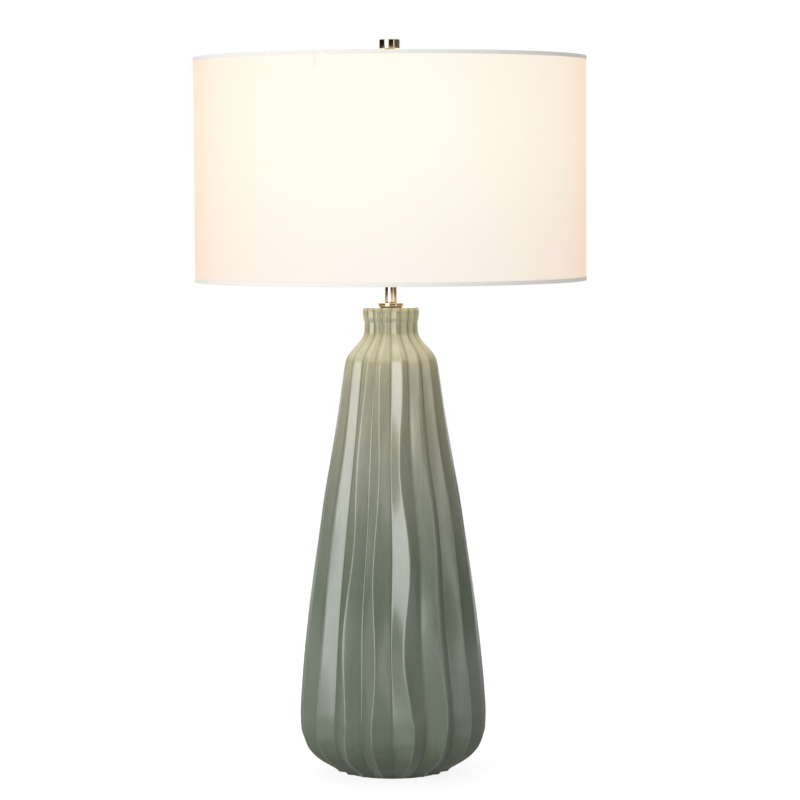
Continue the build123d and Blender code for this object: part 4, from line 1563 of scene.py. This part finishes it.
@dataclass
class CentralStack:
    """The hollow rod and what is clamped on it, from the foot to the harp's saddle."""

    rod: Thread = field(
        default_factory=lambda: Thread(4.95, 4.45, 1.0, 6, 604, 3.5, sides=28)
    )

    def build(self) -> None:
        """Makes the rod, its ring and its sleeve, and dresses washers and nuts."""
        settle(self.rod.cut("lamp_rod", ZINC), "base", ZINC, "threaded_rod")
        ring = [
            (5.2, 548.0, 0.2), (14.6, 548.0, 0), (15.0, 548.5, 0.3), (15.0, 549.5, 0.1),
            (14.8, 549.75, 0.1), (14.8, 550.05, 0.1), (15.0, 550.3, 0.1),
            (15.0, 552.0, 0.5), (14.2, 552.5, 0.3), (8.0, 552.5, 0), (5.2, 552.5, 0.2),
        ]
        lathe("neck_ring", ring, 128, "base", NICKEL_PAINTED_WARM, "check_ring")
        sleeve = [
            (5.3, 552.5, 0.2), (7.1, 552.5, 0.3), (7.1, 592.0, 0.4), (5.3, 592.0, 0.2),
        ]
        lathe("neck_sleeve", sleeve, 96, "base", NICKEL_PAINTED_WARM, "neck_tube")
        dress_nodes(ZINC, "bottom_washer", "bottom_lock_washer", "bottom_nut")
        dress_nodes(NICKEL, "saddle_nut")
        dress_nodes(RUBBER, "neck_gasket")


# -------------------------------------------------------------------- lampholder


@dataclass
class Lampholder:
    """The lampholder: cup, shell, liner, insulator, contacts and turn switch."""

    socket_thread: Thread = field(
        default_factory=lambda: Thread(
            13.36, 13.62, 3.63, 634, 651, 13.9, sides=96, rows_per_turn=12, rolled=True
        )
    )

    def build(self) -> None:
        """Dresses the holder's nodes and makes its screw shell."""
        dress_nodes(NICKEL, "lampholder_cap", "lampholder_shell")
        dress_nodes(LINER, "lampholder_liner")
        dress_nodes(PHENOLIC, "lampholder_insulator")
        dress_nodes(BRASS, "terminal_screws", "centre_contact")
        settle(
            self.socket_thread.cut("socket_thread", ALUMINIUM),
            "base", ALUMINIUM, "screw_shell",
        )
        dress_nodes(BRASS, "switch_shaft")
        dress_nodes(PHENOLIC, "switch_knob")


# --------------------------------------------------------------------------- bulb


@dataclass
class Bulb:
    """The bulb: its screw cap, housing, board with chips and opal cover."""

    cap: Thread = field(
        default_factory=lambda: Thread(
            13.05, 12.3, 3.63, 642.6, 660.0, 11.8, sides=96, rows_per_turn=12,
            rolled=True,
        )
    )
    chips: int = 16
    chip_ring: float = 19.0
    board_top: float = 694.3

    def build(self) -> None:
        """Makes the cap, the chips and the cover, and dresses the rest."""
        settle(self.cap.cut("cap_thread", CAP_METAL), "bulb", CAP_METAL, "bulb_cap")
        rim = [
            (10.5, 640.8, 0), (11.4, 640.8, 0.3), (12.6, 642.2, 0.3), (12.3, 643.2, 0),
            (11.0, 643.2, 0), (10.5, 642.3, 0),
        ]
        lathe("cap_rim", rim, 96, "bulb", CAP_METAL)
        skirt = [(11.9, 659.6, 0), (13.05, 659.6, 0.2), (13.05, 662.8, 0), (11.9, 662.8, 0)]
        lathe("cap_skirt", skirt, 96, "bulb", CAP_METAL)
        dress_nodes(ZINC, "bulb_contact")
        dress_nodes(PHENOLIC, "bulb_insulator")
        dress_nodes(WHITE_PLASTIC, "bulb_collar")
        dress_nodes(CHIP_BOARD, "led_board")
        settle(self.chip_piece(), "bulb", CHIP)
        settle(self.cover(), "bulb", OPAL, "bulb_globe")

    def chip_piece(self) -> bpy.types.Object:
        """The board's ring of chips, each a bevelled block.

        Returns:
            The chips as one piece.
        """
        recipe = Recipe(
            "chips", {"Chips": self.chips, "Ring": self.chip_ring * MM,
                      "Height": (self.board_top + 0.35) * MM},
        )
        nodes = recipe.nodes
        circle = nodes.add(
            "GeometryNodeMeshCircle",
            {},
            {"Vertices": recipe["Chips"], "Radius": recipe["Ring"]},
        )
        raised = nodes.add(
            "GeometryNodeTransform",
            {},
            {"Geometry": circle, "Translation": nodes.combined(0, 0, recipe["Height"])},
        )
        block = nodes.add("GeometryNodeMeshCube", {}, {"Size": (0.0028, 0.0035, 0.0007)})
        x, y, _ = nodes.parts(nodes.add("GeometryNodeInputPosition"))
        turn = nodes.combined(0.0, 0.0, nodes.math("ARCTAN2", y, x))
        spread = nodes.add(
            "GeometryNodeInstanceOnPoints",
            {},
            {"Points": raised, "Instance": block, "Rotation": turn},
        )
        recipe.close(spread)
        piece = recipe.run("board_chips", bpy.data.meshes.new("chips"), CHIP.material())
        bevel = piece.modifiers.new("bevel", "BEVEL")
        bevel.width = 0.00025
        bevel.segments = 2
        apply_modifiers(piece)
        smooth(piece.data)
        return piece

    def cover(self) -> bpy.types.Object:
        """The opal cover, a globe that opens at its waist.

        Returns:
            The cover.
        """
        outer = [(29.0, 694.3), (29.25, 699.0), (29.55, 704.0), (29.8, 710.0)]
        centre, radius, skin, steps = 718.3, 30.0, 1.4, 22
        outer += [
            (
                radius * math.cos(math.pi / 2 * step / steps),
                centre + radius * math.sin(math.pi / 2 * step / steps),
            )
            for step in range(steps + 1)
        ]
        inner = [(max(0.0, r - skin * (r > 0)), z - skin * (z > centre)) for r, z in outer]
        inner[0] = (29.0 - skin, 694.3)
        outline = [(r * MM, z * MM) for r, z in [*outer, *reversed(inner)]]
        return turned("opal_cover", outline, OPAL.material(), 96)


# --------------------------------------------------------------------------- harp


@dataclass
class Harp:
    """The harp with its saddle, its locking sleeves, bracket and threaded stud."""

    stud: Thread = field(
        default_factory=lambda: Thread(3.175, 2.72, 0.94, 824.6, 838.0, 0.0, sides=40)
    )

    def build(self) -> None:
        """Dresses the harp's nodes and cuts the stud's thread."""
        dress_nodes(
            NICKEL, "harp_saddle", "harp_bracket", "harp_sleeve_left", "harp_sleeve_right"
        )
        dress_nodes(NICKEL_DRAWN, "harp_wire")
        settle(self.stud.cut("stud_thread", NICKEL), "harp", NICKEL, "harp_stud")


# -------------------------------------------------------------------------- shade


@dataclass
class Shade:
    """The drum shade: cloth on its backing, two hems, spider and lower ring.

    Sizes are millimetres.
    """

    bottom: float = 578.0
    top: float = 838.0
    radius: float = 228.2
    cloth: float = 0.5
    thickness: float = 1.2
    hem_radius: float = 228.6
    hem_height: float = 4.5
    hem_inner: float = 224.4
    hem: float = 0.4
    seam_turn: float = 90.0  # degrees from +X: the back
    seam_lap: float = 11.0
    seam_rise: float = 0.32

    def build(self) -> None:
        """Makes the cloth, the backing and the hems, and dresses the wires."""
        cloth = self.cloth_piece()
        settle(cloth, "shade", LINEN, "shade_panel")
        backing = self.backing_piece()
        settle(backing, "shade", BACKING)
        hems = [
            self.hem_piece("hem_top", self.top, -1, "shade_hem_top"),
            self.hem_piece("hem_bottom", self.bottom, 1, "shade_hem_bottom"),
        ]
        dress_nodes(WHITE_PAINT, "shade_spider", "shade_bottom_ring")
        2 * math.pi * self.radius * MM + self.seam_lap * MM

    def wall(
        self, name: str, outer: float, inner: float, low: float, high: float,
        lap: float, finish: Finish,
    ) -> bpy.types.Object:
        """A thin round wall, with a lapped joint at its back if it has one.

        Args:
            name: name of the piece.
            outer: outer radius.
            inner: inner radius.
            low: lower edge.
            high: upper edge.
            lap: how far the lapped edge stands proud.
            finish: its finish.

        Returns:
            The piece.
        """
        columns, rows = 240, 26
        seam = math.radians(self.seam_turn)
        half = self.seam_lap / 2 / outer
        turns = [seam + half + 2 * math.pi * i / columns for i in range(columns)]
        lapped = [seam - half, seam - half + 0.0012, seam + half - 0.004]
        turns = sorted(
            [t for t in turns if t < seam + 2 * math.pi - half - 0.002]
            + [t + 2 * math.pi for t in lapped]
        )
        levels = [low + (high - low) * row / rows for row in range(rows + 1)]
        points, faces = [], []
        for turn in turns:
            away = abs((turn - seam + math.pi) % (2 * math.pi) - math.pi)
            proud = lap if away < half - 0.0006 and turn > seam + 1 else 0.0
            ring = [(outer + proud, z) for z in levels]
            ring += [(inner, z) for z in reversed(levels)]
            points += [
                (r * math.cos(turn) * MM, r * math.sin(turn) * MM, z * MM)
                for r, z in ring
            ]
        count = 2 * len(levels)
        for place in range(len(turns)):
            here, there = place * count, (place + 1) % len(turns) * count
            for low_row in range(count):
                high_row = (low_row + 1) % count
                faces.append(
                    (here + low_row, there + low_row, there + high_row, here + high_row)
                )
        return new_piece(name, points, faces, finish.material(), 30.0)

    def cloth_piece(self) -> bpy.types.Object:
        """The woven cloth, lapped over itself at the back."""
        return self.wall(
            "shade_cloth", self.radius, self.radius - self.cloth,
            self.bottom + self.hem, self.top - self.hem, self.seam_rise, LINEN,
        )

    def backing_piece(self) -> bpy.types.Object:
        """The stiff backing inside the cloth."""
        return self.wall(
            "shade_backing", self.radius - self.cloth,
            self.radius - self.thickness, self.bottom + self.hem,
            self.top - self.hem, 0.0, BACKING,
        )

    def hem_piece(
        self, name: str, rim: float, inward: int, node: str
    ) -> bpy.types.Object:
        """A folded tape around one rim.

        Args:
            name: name of the piece.
            rim: height of the rim.
            inward: -1 for the top rim and 1 for the bottom one.
            node: the CAD node that it stands for.

        Returns:
            The piece.
        """
        height, hem = self.hem_height, self.hem
        corners = [
            (self.hem_inner, rim, 0.15), (self.hem_radius, rim, 0.35),
            (self.hem_radius, rim + inward * height, 0.15),
            (self.radius - 0.05, rim + inward * height, 0),
            (self.radius - 0.05, rim + inward * hem, 0),
            (self.hem_inner, rim + inward * hem, 0.15),
        ]
        piece = turned(name, eased_outline(corners, 3), TAPE.material(), 360)
        return settle(piece, "shade", TAPE, node)


# ------------------------------------------------------------------------- finial


@dataclass
class Finial:
    """The turned finial that holds the shade on the harp. Sizes are millimetres."""

    bottom: float = 827.7
    top: float = 858.6
    stem: float = 6.0
    head: float = 12.75
    head_height: float = 11.0
    bore: float = 3.3
    bore_depth: float = 13.0

    def build(self) -> None:
        """Makes the finial with its eased rims and its blind bore."""
        under = self.top - self.head_height
        corners = [
            (0, self.top, 0), (self.head, self.top, 0.7), (self.head, under, 0.6),
            (self.stem, under, 0.5), (self.stem, self.bottom, 0.4),
            (self.bore, self.bottom, 0.3), (self.bore, self.bottom + self.bore_depth, 0),
            (0, self.bottom + self.bore_depth + 1.5, 0),
        ]
        piece = turned("turned_finial", eased_outline(corners, 5), NICKEL.material(), 128)
        settle(piece, "finial", NICKEL, "finial")


# ------------------------------------------------------------------------- studio


@dataclass(frozen=True)
class Softbox:
    """A rectangular studio lamp that faces the object.

    It stands at a turn in degrees from the front, at a reach and a height in metres.
    """

    name: str
    turn: float
    reach: float
    height: float
    size: Point
    power: float
    colour: Colour = (1.0, 1.0, 1.0)
    aim: Point = (0.0, 0.42)  # distance in front of the lamp's axis, and height

    def light(self) -> None:
        """Hangs the lamp."""
        lamp = bpy.data.lights.new(self.name, "AREA")
        lamp.shape = "RECTANGLE"
        lamp.size, lamp.size_y = self.size
        lamp.energy = self.power
        lamp.color = self.colour
        holder = bpy.data.objects.new(self.name, lamp)
        holder.location = around_front(self.turn, self.reach, self.height)
        toward = Vector((0, -self.aim[0], self.aim[1])) - holder.location
        holder.rotation_euler = toward.to_track_quat("-Z", "Y").to_euler()
        bpy.context.scene.collection.objects.link(holder)


def around_front(turn: float, reach: float, height: float) -> Vector:
    """Point at a turn in degrees from the front, a reach and a height."""
    angle = math.radians(turn)
    return Vector((reach * math.sin(angle), -reach * math.cos(angle), height))


@dataclass(frozen=True)
class FloorPaint(Finish):
    """Pale paper floor, as bright as the background, that keeps soft shadows."""

    shade: float = 0.24
    bounce: float = 0.40
    near_bounce: float = 0.17
    lift: float = 0.87
    edge_lift: float = 1.0
    near: float = 0.25
    far: float = 0.9

    def paint(self, nodes: Nodes, shader: bpy.types.Node) -> None:
        """Adds the background's white, fully away from the lamp, for rays that show it."""
        place = nodes.place()
        x, y, _ = nodes.parts(place)
        away = nodes.reach(x, y).eased(self.near, self.far)
        tone = nodes.noise(place, 40.0, 2.0) * 0.02 + (self.shade - 0.01)
        lift = self.lift + away * (self.edge_lift - self.lift)
        seen = nodes.add("ShaderNodeLightPath", {}, {}, "Is Camera Ray")
        bounce = self.near_bounce + away * (self.bounce - self.near_bounce)
        seen = bounce + seen * (lift - bounce)
        nodes.fill(shader, {
            "Base Color": nodes.combined(tone, tone, tone),
            "Roughness": 0.9,
            "Specular IOR Level": 0.1,
            "Emission Color": nodes.combined(seen, seen, seen),
            "Emission Strength": 1.0,
        })


def shows_background(nodes: Nodes) -> Term:
    """1 for the rays that show the background: seen, mirrored or let through."""
    seen = nodes.add("ShaderNodeLightPath", {}, {}, "Is Camera Ray")
    outputs = seen.socket.node.outputs
    mirrored = Term(nodes, outputs["Is Glossy Ray"])
    let_through = Term(nodes, outputs["Is Transmission Ray"])
    return (seen + mirrored + let_through).least(1.0)


@dataclass
class Studio:
    """Camera, lamps, floor and background."""

    focal: float = 3189 / 800 * 36
    camera_place: tuple[float, float, float] = (0.010, -3.729, 0.6949)
    camera_drop: float = 3.939
    camera_roll: float = -0.30
    ambient: float = 0.30
    floor_radius: float = 1.35
    floor_sides: int = 96
    softboxes: Sequence[Softbox] = (
        Softbox("key", -32, 2.7, 0.8, (1.8, 2.3), 45.0),
        Softbox("strip", 46, 2.7, 0.9, (0.32, 2.2), 4.6, (1.0, 0.95, 0.88)),
        Softbox("overhead", -95, 0.75, 2.9, (1.4, 1.8), 9.0),
        Softbox("back", 180, 2.9, 1.0, (1.5, 2.2), 20.0),
    )
    bulb_height: float = 0.727
    bulb_reach: float = 0.034
    bulb_power: float = 0.40
    mouth_height: float = 0.600
    mouth_size: float = 0.36
    mouth_power: float = 0.17
    bulb_colour: Colour = (1.0, 0.80, 0.56)
    dark_flags: Sequence[float] = (-112, -76, -40, -4, 32)
    grey_flags: Sequence[float] = (68, 104)
    flag_half: float = 18.0
    flag_reach: float = 5.4
    flag_height: float = 4.6

    def build(self) -> None:
        """Sets up the whole studio."""
        self.set_camera()
        self.set_world()
        self.set_floor()
        for softbox in self.softboxes:
            softbox.light()
        self.set_bulb_light()
        self.set_flags()
        view = bpy.context.scene.view_settings
        view.view_transform = "Standard"

    def set_camera(self) -> None:
        """Places the camera where the photograph was taken from."""
        camera = bpy.data.cameras.new("camera")
        camera.lens = self.focal
        camera.sensor_width = 36.0
        holder = bpy.data.objects.new("camera", camera)
        holder.location = self.camera_place
        holder.rotation_mode = "QUATERNION"
        tilt = Matrix.Rotation(math.radians(90 - self.camera_drop), 4, "X")
        roll = Matrix.Rotation(math.radians(self.camera_roll), 4, "Z")
        holder.rotation_quaternion = (tilt @ roll).to_quaternion()
        bpy.context.scene.collection.objects.link(holder)
        bpy.context.scene.camera = holder

    def set_world(self) -> None:
        """Lights the scene evenly and shows white behind it."""
        world = bpy.data.worlds.new("studio")
        world.use_nodes = True
        bpy.context.scene.world = world
        nodes = Nodes(world.node_tree)
        background = world.node_tree.nodes["Background"]
        seen = shows_background(nodes)
        nodes.feed(
            background.inputs["Strength"], seen + (1.0 - seen) * self.ambient
        )
        background.inputs["Color"].default_value = (1.0, 1.0, 1.0, 1.0)

    def set_floor(self) -> None:
        """Lays a round table under the felt."""
        rim = [
            tuple(around_front(360 * side / self.floor_sides, self.floor_radius, 0))
            for side in range(self.floor_sides)
        ]
        floor = new_piece(
            "floor",
            [(0.0, 0.0, 0.0), *rim],
            [
                (0, side + 1, (side + 1) % self.floor_sides + 1)
                for side in range(self.floor_sides)
            ],
            FloorPaint("", "paper floor").material(),
        )

    def set_bulb_light(self) -> None:
        """Puts the lit bulb's light around its cover and below the shade's mouth."""
        bulb = bpy.data.lights.new("bulb light", "POINT")
        bulb.shadow_soft_size = self.bulb_reach
        bulb.energy = self.bulb_power
        mouth = bpy.data.lights.new("mouth light", "AREA")
        mouth.shape = "DISK"
        mouth.size = self.mouth_size
        mouth.energy = self.mouth_power
        for lamp, height in ((bulb, self.bulb_height), (mouth, self.mouth_height)):
            lamp.color = self.bulb_colour
            holder = bpy.data.objects.new(lamp.name, lamp)
            holder.location = (0.0, 0.0, height)
            holder.visible_camera = False
            holder.visible_glossy = False
            bpy.context.scene.collection.objects.link(holder)

    def set_flags(self) -> None:
        """Hangs flags all around the front, which only mirrors show."""
        black = Moulded("", "black flag", colour=(0.010, 0.010, 0.010),
                        fleck=(0.014, 0.014, 0.014), rough=0.9)
        grey = Moulded("", "grey flag", colour=(0.26, 0.24, 0.19),
                       fleck=(0.30, 0.28, 0.22), rough=0.9)
        for finish, turns in ((black, self.dark_flags), (grey, self.grey_flags)):
            for turn in turns:
                self.hang_flag(turn, finish)

    def hang_flag(self, turn: float, finish: Finish) -> None:
        """Hangs one flag.

        Args:
            turn: degrees from the front.
            finish: its cloth.
        """
        half, height = self.flag_half, self.flag_height
        feet = [around_front(turn + side, self.flag_reach, 0.02) for side in (-half, half)]
        heads = [foot + Vector((0, 0, height)) for foot in reversed(feet)]
        flag = new_piece(
            f"flag_{round(turn) % 360}",
            [tuple(corner) for corner in (*feet, *heads)],
            [(0, 1, 2, 3)],
            finish.material(),
        )
        flag.visible_camera = False
        flag.visible_diffuse = False
        flag.visible_shadow = False
        flag.visible_transmission = False


# --------------------------------------------------------------------------- main


def corners(box: Iterable[Vector]) -> list[list[float]]:
    """A box as plain lists of numbers."""
    return [[float(part) for part in corner] for corner in box]


def main() -> None:
    """Builds the studio and every part of the lamp."""
    logging.basicConfig(level=logging.INFO, format="%(name)s: %(message)s")
    for part in (
        Studio(), CeramicBody(), CentralStack(), Lampholder(), Bulb(), Harp(),
        Shade(), Finial(),
    ):
        LOG.info("building %s", type(part).__name__)
        part.build()


if __name__ == "__main__":
    main()
